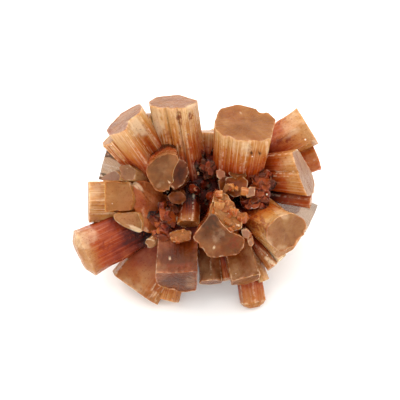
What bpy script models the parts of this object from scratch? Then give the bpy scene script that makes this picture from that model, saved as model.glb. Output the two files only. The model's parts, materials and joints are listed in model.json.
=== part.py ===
"""Aragonite sputnik: a ball of stout six-sided crystals grown together from one middle.

Every crystal is a prism that is narrow at the middle of the ball and wide at its flat free
end. The places are first written as the cluster is looked at from above its front, in
millimetres from the middle of growth: to the right, up, and towards the eye. The whole is
then leaned back by LEAN, stood on its lowest crystals and worn flat where it rests.
"""
from collections import namedtuple
from math import cos, radians, sin

import bmesh
import bpy
from mathutils import Matrix, Vector

MM = 0.001
NAME = "aragonite_cluster"

# How the cluster stands
LEAN = radians(50)
GROWTH_CENTRE = Vector((1.08, 1.41, 16.5))
WORN_DEPTH = 30.0

# The middle, where the crystals have run together
CORE_RADIUS = 9.6
CORE_SHARE = (1.04, 0.96, 0.94)
CORE_PLACE = (0.4, -0.4, -2.6)

# Crystal habit
ROOT_TAPER = 0.65
HIDDEN_TAPER = 0.74
HIDDEN_DEPTH = 0.94
NOTCH_OPENING = 0.11
NOTCH_DEPTH = 0.075
GROOVES = (0, 3)

# Outlines of free ends that are no plain hexagon
ROUNDED = [
    (5.1, 0.4), (4.4, 2.6), (2.9, 3.8), (0.2, 4.2), (-2.8, 3.6), (-4.6, 2.2), (-5.1, -0.2),
    (-4.5, -2.4), (-2.7, -3.7), (0.1, -4.2), (2.6, -3.9), (4.4, -2.6)]
BROAD = [
    (5.8, 0.6), (4.9, -3.4), (-2.9, -4.4), (-3.2, -3.9), (-3.5, -4.3), (-4.0, -3.8), (-4.3, -4.1),
    (-5.8, -2.6), (-5.4, 2.5), (0.5, 4.8), (4.6, 3.2)]
BLOCKY = [
    (3.0, 0.5), (2.8, -2.6), (-2.9, -2.9), (-3.3, -2.2), (-3.0, 2.0), (0.0, 3.2)]

Crystal = namedtuple("Crystal", "tip root corners facing taper crown")


def trilling(width, depth, turn=0.0, notches=GROOVES):
    """Outline of a threefold twin: a hexagon, with a re-entrant notch in some of its faces.

    width and depth are its two spans and turn rolls it about its own axis, in degrees.
    Points run round the free end, in its own plane.
    """
    spots = [radians(turn + 60 * k) for k in range(6)]
    place = [Vector((width / 2 * cos(spot), depth / 2 * sin(spot))) for spot in spots]
    ring = []
    for k, start in enumerate(place):
        ring.append(start)
        if k in notches:
            stop = place[(k + 1) % 6]
            middle = (start + stop) / 2
            along = (stop - start).normalized() * width
            ring.append(middle - along * NOTCH_OPENING)
            ring.append(middle - middle.normalized() * width * NOTCH_DEPTH)
            ring.append(middle + along * NOTCH_OPENING)
    return ring


def prism(tip, outline, root=(0, 0, 0), taper=ROOT_TAPER, crown=None):
    """A crystal whose free end is square to its axis, with its outline in the end's plane."""
    tip, root = Vector(tip), Vector(root)
    axis = (tip - root).normalized()
    across = axis.cross(Vector((0, 0, 1))).normalized()
    beyond = axis.cross(across)
    corners = [tip + across * x + beyond * y for x, y in outline]
    return Crystal(tip, root, corners, axis, taper, crown)


def faced(tip, seen, facing, root=(0, 0, 0), taper=ROOT_TAPER, crown=None):
    """A crystal whose free end looks in the direction facing.

    seen are the end's corners as the eye sees them: how far right and how far up.
    """
    tip, root, facing = Vector(tip), Vector(root), Vector(facing).normalized()
    corners = []
    for right, up in seen:
        slope = facing.x * (right - tip.x) + facing.y * (up - tip.y)
        corners.append(Vector((right, up, tip.z - slope / facing.z)))
    return Crystal(tip, root, corners, facing, taper, crown)


def top_crystals():
    """The stout prisms that stand up along the top, with the ledges beside them."""
    return {
        "top_left": faced(
            (-15.8, 14.6, 6.0),
            [(-19.3, 12.2), (-18.6, 13.4), (-16.6, 15.7), (-15.4, 16.4), (-13.0, 17.6),
             (-12.4, 17.6), (-12.0, 16.7), (-12.6, 15.6), (-14.6, 14.2), (-14.8, 13.2),
             (-15.2, 12.2), (-16.4, 11.6), (-18.6, 11.2)],
            facing=(-0.57, 0.77, 0.28), root=(-7.0, 2.0, 0.0), taper=0.85),
        "top_left_ledge": prism(
            (-18.3, 10.7, 5.0), trilling(5.0, 6.4, 20, (3,)), root=(-7.6, -1.5, 0.5), taper=0.8),
        "top_left_shoulder": prism(
            (-12.4, 14.6, 4.6), trilling(5.0, 6.6, 10, ()), root=(-6.0, 1.0, 0.0), taper=0.9),
        "top_middle": faced(
            (-5.9, 18.0, 6.0),
            [(-10.9, 18.0), (-9.4, 19.0), (-7.4, 19.3), (-4.6, 19.5), (-1.9, 18.5), (-0.9, 18.2),
             (-1.9, 17.3), (-3.4, 16.6), (-4.9, 16.5), (-5.2, 16.75), (-5.5, 16.5), (-7.1, 16.5),
             (-7.4, 16.75), (-7.7, 16.5), (-9.0, 16.7), (-10.8, 17.3)],
            facing=(-0.06, 0.95, 0.31), root=(-2.8, 0, 0.0), taper=0.87),
        "top_right": faced(
            (8.4, 13.6, 11.0),
            [(2.1, 13.5), (2.6, 15.4), (3.4, 16.6), (7.0, 17.5), (10.8, 16.5), (11.3, 15.9),
             (13.0, 15.8), (14.5, 14.3), (13.8, 12.2), (13.5, 10.6), (12.2, 9.9), (9.6, 9.9),
             (9.2, 10.2), (8.8, 9.9), (6.8, 10.1), (5.4, 10.6), (5.1, 11.0), (4.6, 10.8),
             (3.8, 11.1), (2.4, 12.4)],
            facing=(0.1, 0.78, 0.62), root=(6.6, 0, 0), taper=0.8),
        "top_behind": prism(
            (1.0, 12.2, -1.0), trilling(5.4, 6.0, 0, ()), root=(1, 4, -2), taper=0.9),
    }


def right_crystals():
    """The prisms along the right-hand side."""
    return {
        "right_upper": prism(
            (21.0, 13.3, -0.6), trilling(9.0, 8.8, 15, ()), root=(8.5, 5.6, -1.0), taper=0.9),
        "right_upper_ledge": prism(
            (22.9, 7.0, -3.5), trilling(6.2, 6.0, 30, ()), root=(5.2, 0.2, -2), taper=0.8),
        "right_side": faced(
            (20.2, 3.8, 5.8),
            [(18.8, 8.6), (17.6, 7.8), (18.2, 5.4), (18.7, 4.1), (18.9, 3.9), (18.9, 3.4),
             (19.4, 2.0), (20.6, -0.9), (22.1, -0.6), (22.4, 1.6), (22.0, 3.4), (21.2, 5.0),
             (20.0, 7.0)],
            facing=(0.9, 0.3, 0.3), root=(6.4, 4.0, -0.5), taper=0.6),
        "right_sliver": prism(
            (21.6, -1.9, 2.0), trilling(3.0, 4.6, 0, ()), root=(5, 0.4, 0), taper=0.9),
        "right_behind": prism(
            (21.8, -5.4, -1.0), trilling(6.4, 6.4, 0, ()), root=(12.6, -1.2, -1), taper=0.95),
    }


def front_crystals():
    """The stout prisms that point at the eye."""
    return {
        "lower_right": faced(
            (16.9, -7.9, 12.0),
            [(17.3, -3.9), (20.0, -5.3), (20.6, -6.9), (20.3, -8.3), (18.7, -9.5), (18.2, -10.9),
             (15.3, -12.0), (13.8, -11.0), (12.4, -9.4), (12.5, -7.0), (14.6, -4.9)],
            facing=(0.5, -0.35, 0.79), root=(8.0, -3.1, 0.5), taper=0.86),
        "lower_right_wall": prism(
            (17.0, -9.6, 8.0), trilling(9.0, 8.4, 20, ()), root=(6.0, 0.0, 0.0), taper=0.9),
        "centre": faced(
            (3.0, -9.0, 17.5),
            [(1.4, -4.2), (2.5, -4.3), (3.9, -6.2), (5.8, -7.9), (7.3, -8.5), (8.4, -9.2),
             (8.2, -10.8), (6.9, -12.4), (4.6, -12.7), (3.0, -13.1), (1.1, -12.9), (-0.7, -10.9),
             (-2.1, -9.1), (-2.0, -8.4)],
            facing=(0.2, -0.4, 0.9), root=(3.8, -4.4, 3), taper=0.95),
        "left_centre": faced(
            (-8.2, 4.0, 17.0),
            [(-11.3, 4.2), (-10.7, 5.4), (-9.0, 6.8), (-6.8, 7.6), (-4.9, 7.2), (-4.6, 6.0),
             (-5.5, 4.3), (-5.8, 3.0), (-5.5, 1.8), (-6.5, 0.1), (-8.0, -0.2), (-9.4, 0.1),
             (-9.9, 1.1), (-10.7, 2.1)],
            facing=(-0.11, -0.24, 0.96), root=(-8.3, 6.6, 5), taper=0.97),
        "bottom_centre": faced(
            (-5.0, -17.8, 10.5),
            [(-9.4, -15.9), (-5.6, -15.9), (-1.0, -15.5), (-1.1, -17.0), (-1.2, -19.6),
             (-4.2, -20.0), (-6.8, -19.4), (-9.1, -18.4), (-9.5, -16.7)],
            facing=(-0.1, -0.86, 0.5), root=(-4.5, -3.5, 3), taper=0.97),
    }


def left_crystals():
    """The prisms along the left-hand side."""
    return {
        "left_body": faced(
            (-10.6, -2.6, 7.1),
            [(-14.0, 2.2), (-12.0, 2.4), (-8.4, 1.3), (-6.9, -0.8), (-6.5, -3.4), (-7.2, -6.0),
             (-8.8, -7.7), (-10.8, -8.3), (-12.2, -7.6), (-13.0, -4.6), (-14.0, -3.0)],
            facing=(0.42, -0.04, 0.9), root=(-8.4, -2.4, 0), taper=1.0, crown=(1.0, 0.5)),
        "left_side": prism(
            (-22.9, -2.0, 1.5), trilling(9.6, 8.6, 30, (5,)), root=(-4, -1.8, 0), taper=0.95),
        "left_front": faced(
            (-17.0, -1.0, 8.0),
            [(-19.6, 2.1), (-17.4, 2.3), (-14.6, 2.1), (-13.9, 0.4), (-13.7, -1.6), (-14.4, -3.8),
             (-18.0, -3.9), (-19.6, -4.2)],
            facing=(-0.35, 0.05, 0.93), root=(-8.8, -1.6, -2.0), taper=1.2),
        "left_low": faced(
            (-14.5, -6.0, 8.4),
            [(-18.0, -4.4), (-17.7, -5.6), (-16.0, -6.8), (-14.0, -7.8), (-12.4, -8.2),
             (-11.8, -7.4), (-12.0, -5.7), (-12.8, -4.0), (-15.5, -4.1)],
            facing=(-0.1, -0.4, 0.9), root=(-7.5, -2.5, 0.0), taper=1.15, crown=(0.5, 0.6)),
        "left_upper": prism(
            (-20.1, 5.6, -1.0), trilling(7.4, 7.4, 30, ()), root=(-8, 2.4, -1), taper=0.9),
        "left_upper_front": faced(
            (-15.0, 4.0, 8.0),
            [(-16.8, 5.2), (-14.6, 5.6), (-13.1, 4.4), (-13.6, 2.3), (-16.3, 2.3)],
            facing=(-0.3, 0.35, 0.88), root=(-8, 1, 0), taper=1.3),
        "left_upper_shard": faced(
            (-18.4, 3.0, 5.4),
            [(-20.6, 2.3), (-19.4, 3.6), (-17.4, 4.4), (-16.4, 3.2), (-16.6, 2.2)],
            facing=(-0.4, 0.5, 0.77), root=(-8, 0, 0), taper=1.2),
        "low_left": prism(
            (-23.6, -12.2, 3.4), ROUNDED, root=(-4.0, -2.6, 0.5), taper=0.8, crown=(1.3, 0.6)),
    }


def bottom_crystals():
    """The prisms along the bottom, which carry the cluster."""
    return {
        "bottom_left": prism(
            (-13.6, -19.2, -3.0), BROAD, root=(-2.6, -3.4, -1), taper=0.9),
        "bottom_middle": prism(
            (-7.2, -21.6, -2.0), trilling(5.4, 6.0, 0, (5,)), root=(-2.0, -3, -1)),
        "bottom_small": prism(
            (1.6, -18.0, 4.6), trilling(5.4, 5.0, 20, ()), root=(0.6, -3, 1), taper=1.0),
        "bottom_small_right": prism(
            (5.0, -17.4, 3.4), trilling(3.6, 4.0, 0, ()), root=(2, -3, 1), taper=1.0),
        "bottom_right": prism(
            (8.4, -17.7, 5.0), BLOCKY, root=(4.6, -3, 1), taper=0.9),
        "bottom_rim": prism(
            (12.2, -17.8, 1.0), trilling(2.6, 4.0, 0, ()), root=(7, -4, 1), taper=0.9),
        "lowest": prism(
            (10.0, -22.0, -1.0), trilling(5.6, 5.0, 12, ()), root=(7.2, -4, 0), taper=0.9,
            crown=(1.2, 0.62)),
        "thin": prism(
            (13.9, -15.0, 3.0), trilling(2.8, 4.2, 20, ()), root=(6, -4.6, 2), taper=0.9),
        "thin_pale": prism(
            (15.7, -13.4, 2.0), trilling(2.8, 4.0, 0, ()), root=(8, -5, 1), taper=0.9),
    }


def filling_crystals():
    """Smaller crystals that fill the hollow between the stout ones."""
    return {
        "half_hidden": faced(
            (-4.6, 3.6, 12.8),
            [(-5.6, 6.7), (-4.0, 6.4), (-3.1, 5.6), (-2.8, 4.6), (-2.8, 3.5), (-3.2, 2.5),
             (-3.9, 1.5), (-5.6, 0.3), (-6.8, 1.4)],
            facing=(0.25, -0.1, 0.95), root=(-4.0, 2.4, 2), taper=0.9),
        "under_left_centre": faced(
            (-5.2, -1.4, 12.0),
            [(-7.2, -0.9), (-6.2, 0.0), (-4.4, 0.2), (-3.4, -0.6), (-3.3, -1.8), (-4.4, -2.6),
             (-6.2, -2.4)],
            facing=(0.1, -0.1, 0.98), root=(-4.6, 0.2, 3), taper=0.95, crown=(0.6, 0.45)),
        "streaked": prism(
            (-2.9, -6.5, 10.4), trilling(5.0, 3.6, 0, ()), root=(-2.6, 0.6, 5.6), taper=1.0),
        "red_block": faced(
            (-7.0, -4.6, 9.6),
            [(-8.8, -3.0), (-6.4, -2.2), (-4.8, -3.4), (-5.0, -6.0), (-7.2, -7.0), (-8.6, -5.4)],
            facing=(0.2, 0.1, 0.97), root=(-5.6, -3.0, 2), taper=1.0, crown=(1.2, 0.3)),
        "block": faced(
            (-4.6, -8.6, 13.2),
            [(-6.8, -8.0), (-5.0, -7.3), (-2.2, -7.6), (-2.4, -9.6), (-4.4, -10.0), (-6.3, -9.9)],
            facing=(-0.1, 0.45, 0.88), root=(-3.6, -9.4, 2), taper=1.1, crown=(0.5, 0.6)),
        "facet": prism(
            (-10.6, -10.2, 8.6), trilling(2.4, 2.8, 0, ()), root=(-5.0, -6.4, 1), taper=1.3),
        "between": prism(
            (-8.4, -6.4, 8.0), trilling(4.4, 4.0, 10, ()), root=(-5.0, -2.0, 2), taper=1.2,
            crown=(1.0, 0.4)),
        "between_low": prism(
            (-7.8, -8.8, 9.2), trilling(4.6, 3.6, 40, ()), root=(-4.6, -5.0, 2), taper=1.2,
            crown=(0.9, 0.4)),
        "centre_shoulder": faced(
            (4.6, -4.0, 15.0),
            [(0.9, -4.4), (1.5, -1.6), (2.5, 0.4), (4.9, -0.4), (6.0, -2.6), (8.1, -4.6),
             (7.7, -7.2), (5.4, -8.0), (1.4, -7.6)],
            facing=(0.3, 0.42, 0.86), root=(3.8, -2.4, 3), taper=0.95),
        "brown_block": faced(
            (6.4, 1.4, 10.6),
            [(4.4, 2.9), (7.6, 3.4), (9.0, 2.2), (8.6, -0.4), (6.2, -1.3), (4.2, 0.0)],
            facing=(-0.2, 0.3, 0.93), root=(5.4, 2.4, 2), taper=1.0, crown=(0.8, 0.5)),
        "brown_block_left": faced(
            (4.4, 1.6, 9.6),
            [(2.7, 2.4), (4.6, 3.4), (6.2, 2.0), (5.6, -0.6), (3.4, -0.4)],
            facing=(0.35, -0.1, 0.93), root=(4.2, 2.0, 2), taper=1.0),
        "brown_block_up": faced(
            (6.8, 3.6, 9.8),
            [(4.8, 3.6), (6.0, 4.9), (8.2, 4.6), (8.8, 3.0), (7.0, 2.0)],
            facing=(0.1, 0.6, 0.8), root=(6.0, 4.0, 2), taper=1.0),
        "red_grains": faced(
            (11.4, 2.6, 8.6),
            [(9.4, 3.4), (11.4, 4.8), (13.6, 3.6), (13.8, 1.2), (11.8, 0.0), (9.8, 0.8)],
            facing=(0.2, 0.3, 0.93), root=(9.0, 3.0, 0), taper=1.0, crown=(1.1, 0.35)),
        "red_grains_low": faced(
            (9.8, -1.6, 9.4),
            [(7.2, -0.6), (9.6, 0.6), (12.6, -0.2), (13.0, -2.2), (10.2, -3.6), (7.6, -2.8)],
            facing=(-0.1, 0.5, 0.86), root=(7.4, 0.0, 0), taper=1.0, crown=(1.1, 0.35)),
        "red_grains_left": faced(
            (0.6, 4.4, 7.6),
            [(-1.0, 4.6), (0.4, 6.4), (2.4, 6.0), (2.8, 3.8), (1.0, 2.8)],
            facing=(0.2, -0.2, 0.96), root=(0.6, 4.0, 0), taper=1.0, crown=(0.9, 0.3)),
        "bright_grain": faced(
            (3.5, 3.4, 9.4),
            [(2.5, 4.2), (3.4, 4.6), (4.4, 4.1), (4.5, 3.0), (3.6, 2.3), (2.7, 2.8)],
            facing=(0.1, 0.2, 0.97), root=(3.4, 3.5, 4), taper=1.0),
        "grey_grain": faced(
            (9.3, 0.1, 11.6),
            [(8.3, 0.2), (9.2, 1.2), (10.3, 0.9), (10.2, -0.7), (8.6, -1.2)],
            facing=(0.2, 0.4, 0.9), root=(9.2, 0.2, 6), taper=1.0),
        "grey_grain_right": faced(
            (8.4, -8.1, 15.2),
            [(7.4, -7.5), (8.6, -7.1), (9.5, -8.2), (8.9, -9.2), (7.8, -9.0)],
            facing=(0.0, 0.2, 0.98), root=(8.2, -7.8, 8), taper=1.0),
        "grey_grain_low": faced(
            (9.4, -10.1, 14.6),
            [(8.7, -9.7), (9.6, -9.3), (10.2, -10.1), (9.6, -10.9), (8.9, -10.6)],
            facing=(0.1, 0.2, 0.97), root=(8.0, -5.0, 1), taper=1.0),
        "hollow_grain": faced(
            (-1.5, 0.6, 8.4),
            [(-2.0, 0.8), (-1.5, 1.1), (-1.0, 0.7), (-1.2, 0.1), (-1.8, 0.1)],
            facing=(0.1, 0.3, 0.95), root=(-1.5, 0.7, 4), taper=1.0),
        "hollow_grain_up": faced(
            (-1.0, 3.7, 7.8),
            [(-1.4, 3.8), (-1.0, 4.1), (-0.6, 3.8), (-0.7, 3.3), (-1.2, 3.3)],
            facing=(0.1, 0.3, 0.95), root=(-1.0, 3.8, 4), taper=1.0),
    }


def as_seen(right, back, rise):
    """A place given as the cluster stands, turned into right, up and towards."""
    up = back * sin(LEAN) + rise * cos(LEAN)
    towards = rise * sin(LEAN) - back * cos(LEAN)
    return (right, up, towards)


def back_crystals():
    """The far side and the underside, given as they stand: right, back, rise, width, turn."""
    places = [
        (-5.0, 16.0, 3.0, 9.0, 20), (9.0, 16.0, 0.0, 10.0, 10), (16.5, 12.0, -1.0, 8.5, 30),
        (-15.5, 12.0, 0.0, 8.8, 0), (18.6, 6.0, -9.0, 8.4, 15), (-19.0, 6.0, -8.0, 8.6, 25),
        (13.5, -4.0, -13.5, 8.6, 5), (-14.5, -4.0, -13.5, 9.0, 12), (3.0, -6.0, -17.0, 8.6, 33),
        (-5.0, 4.0, -17.5, 10.0, 0), (7.0, 8.0, -16.0, 9.6, 20), (-9.0, 13.0, -10.5, 9.6, 8),
        (2.5, 17.5, -5.5, 9.6, 28), (13.5, 11.0, -10.5, 8.0, 18),
    ]
    return {
        f"far_{number:02d}": prism(
            as_seen(*place), trilling(width, HIDDEN_DEPTH * width, turn), taper=HIDDEN_TAPER)
        for number, (*place, width, turn) in enumerate(places)}


def all_crystals():
    """Every crystal of the cluster, by name."""
    return {
        **top_crystals(), **right_crystals(), **front_crystals(), **left_crystals(),
        **bottom_crystals(), **filling_crystals(), **back_crystals()}


def standing():
    """Turns right, up and towards into the standing cluster's own metres."""
    right = Vector((1, 0, 0))
    up = Vector((0, sin(LEAN), cos(LEAN)))
    towards = Vector((0, -cos(LEAN), sin(LEAN)))
    turn = Matrix((right, up, towards)).transposed().to_4x4()
    return Matrix.Scale(MM, 4) @ Matrix.Translation(GROWTH_CENTRE) @ turn


def clear_scene():
    """An empty file to model in."""
    for thing in list(bpy.data.objects):
        bpy.data.objects.remove(thing, do_unlink=True)


def collection(name):
    """A new collection in the scene."""
    made = bpy.data.collections.new(name)
    bpy.context.scene.collection.children.link(made)
    return made


def solid(name, bm, home):
    """Makes an object of a finished bmesh in a collection."""
    bmesh.ops.recalc_face_normals(bm, faces=bm.faces)
    mesh = bpy.data.meshes.new(name)
    bm.to_mesh(mesh)
    bm.free()
    thing = bpy.data.objects.new(name, mesh)
    home.objects.link(thing)
    return thing


def draw_out(bm, face, place):
    """Extrudes a face and puts each new corner where place says; returns the new face."""
    drawn = bmesh.ops.extrude_face_region(bm, geom=[face, *face.edges])["geom"]
    for item in drawn:
        if isinstance(item, bmesh.types.BMVert):
            item.co = place(item.co)
    return next(item for item in drawn if isinstance(item, bmesh.types.BMFace))


def middle_of(corners):
    """The middle of an outline, in which each side counts by its length."""
    sides = list(zip(corners, corners[1:] + corners[:1]))
    whole = sum((stop - start).length for start, stop in sides)
    return sum(((start + stop) / 2 * (stop - start).length for start, stop in sides), Vector()) / whole


def grow(name, crystal, home):
    """One crystal: its root outline, drawn out to its free end and to its crown, if any."""
    tip, root, corners, facing, taper, crown = crystal
    bm = bmesh.new()
    foot = bm.faces.new([bm.verts.new(root + taper * (corner - tip)) for corner in corners])
    end = draw_out(bm, foot, lambda place: tip + (place - root) / taper)
    if crown:
        rise, share = crown
        middle = middle_of(corners)
        draw_out(bm, end, lambda place: middle + facing * rise + (place - middle) * share)
    bmesh.ops.transform(bm, matrix=standing(), verts=bm.verts)
    return as_tool(solid(f"crystal_{name}", bm, home))


def as_tool(thing):
    """Marks an object as one that only joins or cuts."""
    thing.hide_render = True
    thing.display_type = "WIRE"
    return thing


def core(home):
    """The lump in the middle where the crystals have run together."""
    bm = bmesh.new()
    bmesh.ops.create_icosphere(bm, subdivisions=2, radius=CORE_RADIUS)
    bmesh.ops.scale(bm, vec=CORE_SHARE, verts=bm.verts)
    bmesh.ops.translate(bm, vec=CORE_PLACE, verts=bm.verts)
    bmesh.ops.transform(bm, matrix=standing(), verts=bm.verts)
    return solid(NAME, bm, home)


def ground_cutter(home):
    """What lies below the surface that the cluster has worn flat against."""
    bm = bmesh.new()
    bmesh.ops.create_cube(bm, size=1.0)
    bmesh.ops.scale(bm, vec=(0.1, 0.1, WORN_DEPTH * MM), verts=bm.verts)
    bmesh.ops.translate(bm, vec=(0, 0, -WORN_DEPTH * MM / 2), verts=bm.verts)
    return as_tool(solid("ground", bm, home))


def aragonite():
    """Translucent orange-brown carbonate with a glassy to satin surface."""
    material = bpy.data.materials.new("aragonite")
    material.use_nodes = True
    shader = material.node_tree.nodes["Principled BSDF"]
    shader.inputs["Base Color"].default_value = (0.48, 0.21, 0.075, 1)
    shader.inputs["Roughness"].default_value = 0.35
    shader.inputs["Metallic"].default_value = 0.0
    return material


def main():
    """Joins the crystals to the core, wears the base flat and gives the material."""
    clear_scene()
    parts = collection("aragonite_sputnik")
    tools = collection("joined_crystals")
    ground = collection("ground_plane")
    cluster = core(parts)
    for name, crystal in all_crystals().items():
        grow(name, crystal, tools)
    joined = cluster.modifiers.new("grown_together", "BOOLEAN")
    joined.operation = "UNION"
    joined.operand_type = "COLLECTION"
    joined.collection = tools
    joined.solver = "EXACT"
    worn = cluster.modifiers.new("worn_flat", "BOOLEAN")
    worn.operation = "DIFFERENCE"
    worn.object = ground_cutter(ground)
    worn.solver = "EXACT"
    cluster.data.materials.append(aragonite())


main()
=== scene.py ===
# %% [markdown]
# # Aragonite sputnik
#
# A ball of stout six-sided crystals that grew outwards from one middle. Each crystal is
# narrow and deep red at the middle of the ball, wide and creamy at its free end, and the
# free end itself is a flat, dull, rose-tan face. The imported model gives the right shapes
# with plain flat faces. This lesson grows the same crystals again with all their fine marks.

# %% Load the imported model
import json
from collections import namedtuple
from math import cos, radians, sin
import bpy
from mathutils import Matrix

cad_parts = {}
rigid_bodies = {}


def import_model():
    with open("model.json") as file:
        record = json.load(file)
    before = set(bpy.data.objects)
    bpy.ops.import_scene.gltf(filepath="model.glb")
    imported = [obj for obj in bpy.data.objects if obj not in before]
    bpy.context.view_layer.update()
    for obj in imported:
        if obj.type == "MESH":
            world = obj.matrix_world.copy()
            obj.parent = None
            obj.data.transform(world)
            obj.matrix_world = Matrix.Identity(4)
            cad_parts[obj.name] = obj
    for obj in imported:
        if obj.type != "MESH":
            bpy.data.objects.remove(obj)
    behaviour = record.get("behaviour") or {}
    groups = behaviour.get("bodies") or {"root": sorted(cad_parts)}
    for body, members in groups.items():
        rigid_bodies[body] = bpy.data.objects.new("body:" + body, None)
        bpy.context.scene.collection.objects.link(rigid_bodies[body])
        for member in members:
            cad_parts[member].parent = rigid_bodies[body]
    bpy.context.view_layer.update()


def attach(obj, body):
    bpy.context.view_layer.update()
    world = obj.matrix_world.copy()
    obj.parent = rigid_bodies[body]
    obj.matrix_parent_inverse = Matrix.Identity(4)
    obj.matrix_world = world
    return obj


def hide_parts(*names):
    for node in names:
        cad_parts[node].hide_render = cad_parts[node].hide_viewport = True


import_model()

from types import SimpleNamespace

import bpy
import numpy as np
from mathutils import Matrix, Vector

NODE = "aragonite_cluster"

# %% [markdown]
# ## How the cluster stands
#
# It is easiest to write down a crystal as it is looked at: so far to the right, so far up,
# and so far towards the eye, in millimetres from the middle of growth. One function turns
# such places into standing metres, with the lean at which the cluster rests.

# %% From looking to standing
MM = 0.001
LEAN = radians(50)
GROWTH_CENTRE = np.array((1.08, 1.41, 16.5))
RIGHT = np.array((1.0, 0.0, 0.0))
UP = np.array((0.0, sin(LEAN), cos(LEAN)))
TOWARDS = np.array((0.0, -cos(LEAN), sin(LEAN)))


def stand(points):
    """Right, up and towards, times their three directions, plus the middle of growth."""
    return MM * (GROWTH_CENTRE + np.asarray(points, float) @ np.array((RIGHT, UP, TOWARDS)))


print("middle of growth stands at", stand((0, 0, 0)).round(4))

# %% [markdown]
# ## The camera
#
# The cluster is looked down on from its front at 50 degrees, from well away, so that the
# crystals nearest the eye are hardly larger than the others. A long lens far off gives that.

# %% Camera
EYE_DISTANCE = 700.0
FRAME_WIDTH = 80.0
SENSOR = 36.0
AIM = np.array((-0.6, -1.6, 0.0))

camera_data = bpy.data.cameras.new("camera")
camera_data.sensor_width = SENSOR
camera_data.lens = SENSOR * EYE_DISTANCE / FRAME_WIDTH
camera_data.clip_start = 0.01
camera_data.clip_end = 20
camera = bpy.data.objects.new("camera", camera_data)
bpy.context.scene.collection.objects.link(camera)
camera.matrix_world = Matrix.Translation(Vector(stand(AIM + (0, 0, EYE_DISTANCE)))) @ Matrix(
    (RIGHT, UP, TOWARDS)).transposed().to_4x4()
bpy.context.scene.camera = camera
print(f"lens {camera_data.lens:.0f} mm at {EYE_DISTANCE:.0f} mm")

# %% [markdown]
# ## The crystal habit
#
# Aragonite of this kind is a threefold twin that looks like a hexagonal prism. Its side
# faces often have a notch where two of the twins meet, and it widens a little outwards.
# A crystal is written as the place of its tip, its root near the middle of the ball, the
# corners of its free end, the share of its width that it has at the root, and its finish.

# %% Crystals
ROOT_TAPER = 0.65
HIDDEN_TAPER = 0.74
NOTCH_OPENING = 0.11
NOTCH_DEPTH = 0.075
GROOVED = (0, 3)

Crystal = namedtuple("Crystal", "tip root corners facing taper crown finish")


def unit(vector):
    """Each vector over its own length."""
    vector = np.asarray(vector, float)
    return vector / np.linalg.norm(vector, axis=-1, keepdims=True)


def trilling(width, depth, turn=0.0, notches=GROOVED):
    """Corners of a hexagon at 60 degree steps on an ellipse, some sides with a V notch."""
    spots = np.radians(turn + 60 * np.arange(6))
    place = np.stack((width / 2 * np.cos(spots), depth / 2 * np.sin(spots)), axis=1)
    ring = []
    for k, start in enumerate(place):
        ring.append(start)
        if k in notches:
            stop = place[(k + 1) % 6]
            middle = (start + stop) / 2
            along = unit(stop - start) * width * NOTCH_OPENING
            ring += [middle - along, middle - unit(middle) * width * NOTCH_DEPTH, middle + along]
    return np.array(ring)


def prism(tip, outline, root=(0, 0, 0), taper=ROOT_TAPER, crown=None, **finish):
    """A crystal whose end is square to its axis: tip + across x + beyond y for each corner."""
    tip, root = np.array(tip, float), np.array(root, float)
    axis = unit(tip - root)
    across = unit(np.cross(axis, (0, 0, 1)))
    beyond = np.cross(axis, across)
    corners = tip + outline[:, :1] * across + outline[:, 1:] * beyond
    return Crystal(tip, root, corners, axis, taper, crown, finish)


def faced(tip, seen, facing, root=(0, 0, 0), taper=ROOT_TAPER, crown=None, **finish):
    """A crystal whose end corners are given as right and up: their third number solves
    facing . (corner - tip) = 0."""
    tip, root, seen, facing = np.array(tip, float), np.array(root, float), np.array(seen), unit(facing)
    away = seen - tip[:2]
    rise = tip[2] - away @ facing[:2] / facing[2]
    return Crystal(tip, root, np.column_stack((seen, rise)), facing, taper, crown, finish)


# %% [markdown]
# ## The crystals
#
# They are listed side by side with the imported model's, at the same places: the top, the
# right, the ones that point at the eye, the left, the bottom and the far side.

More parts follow.
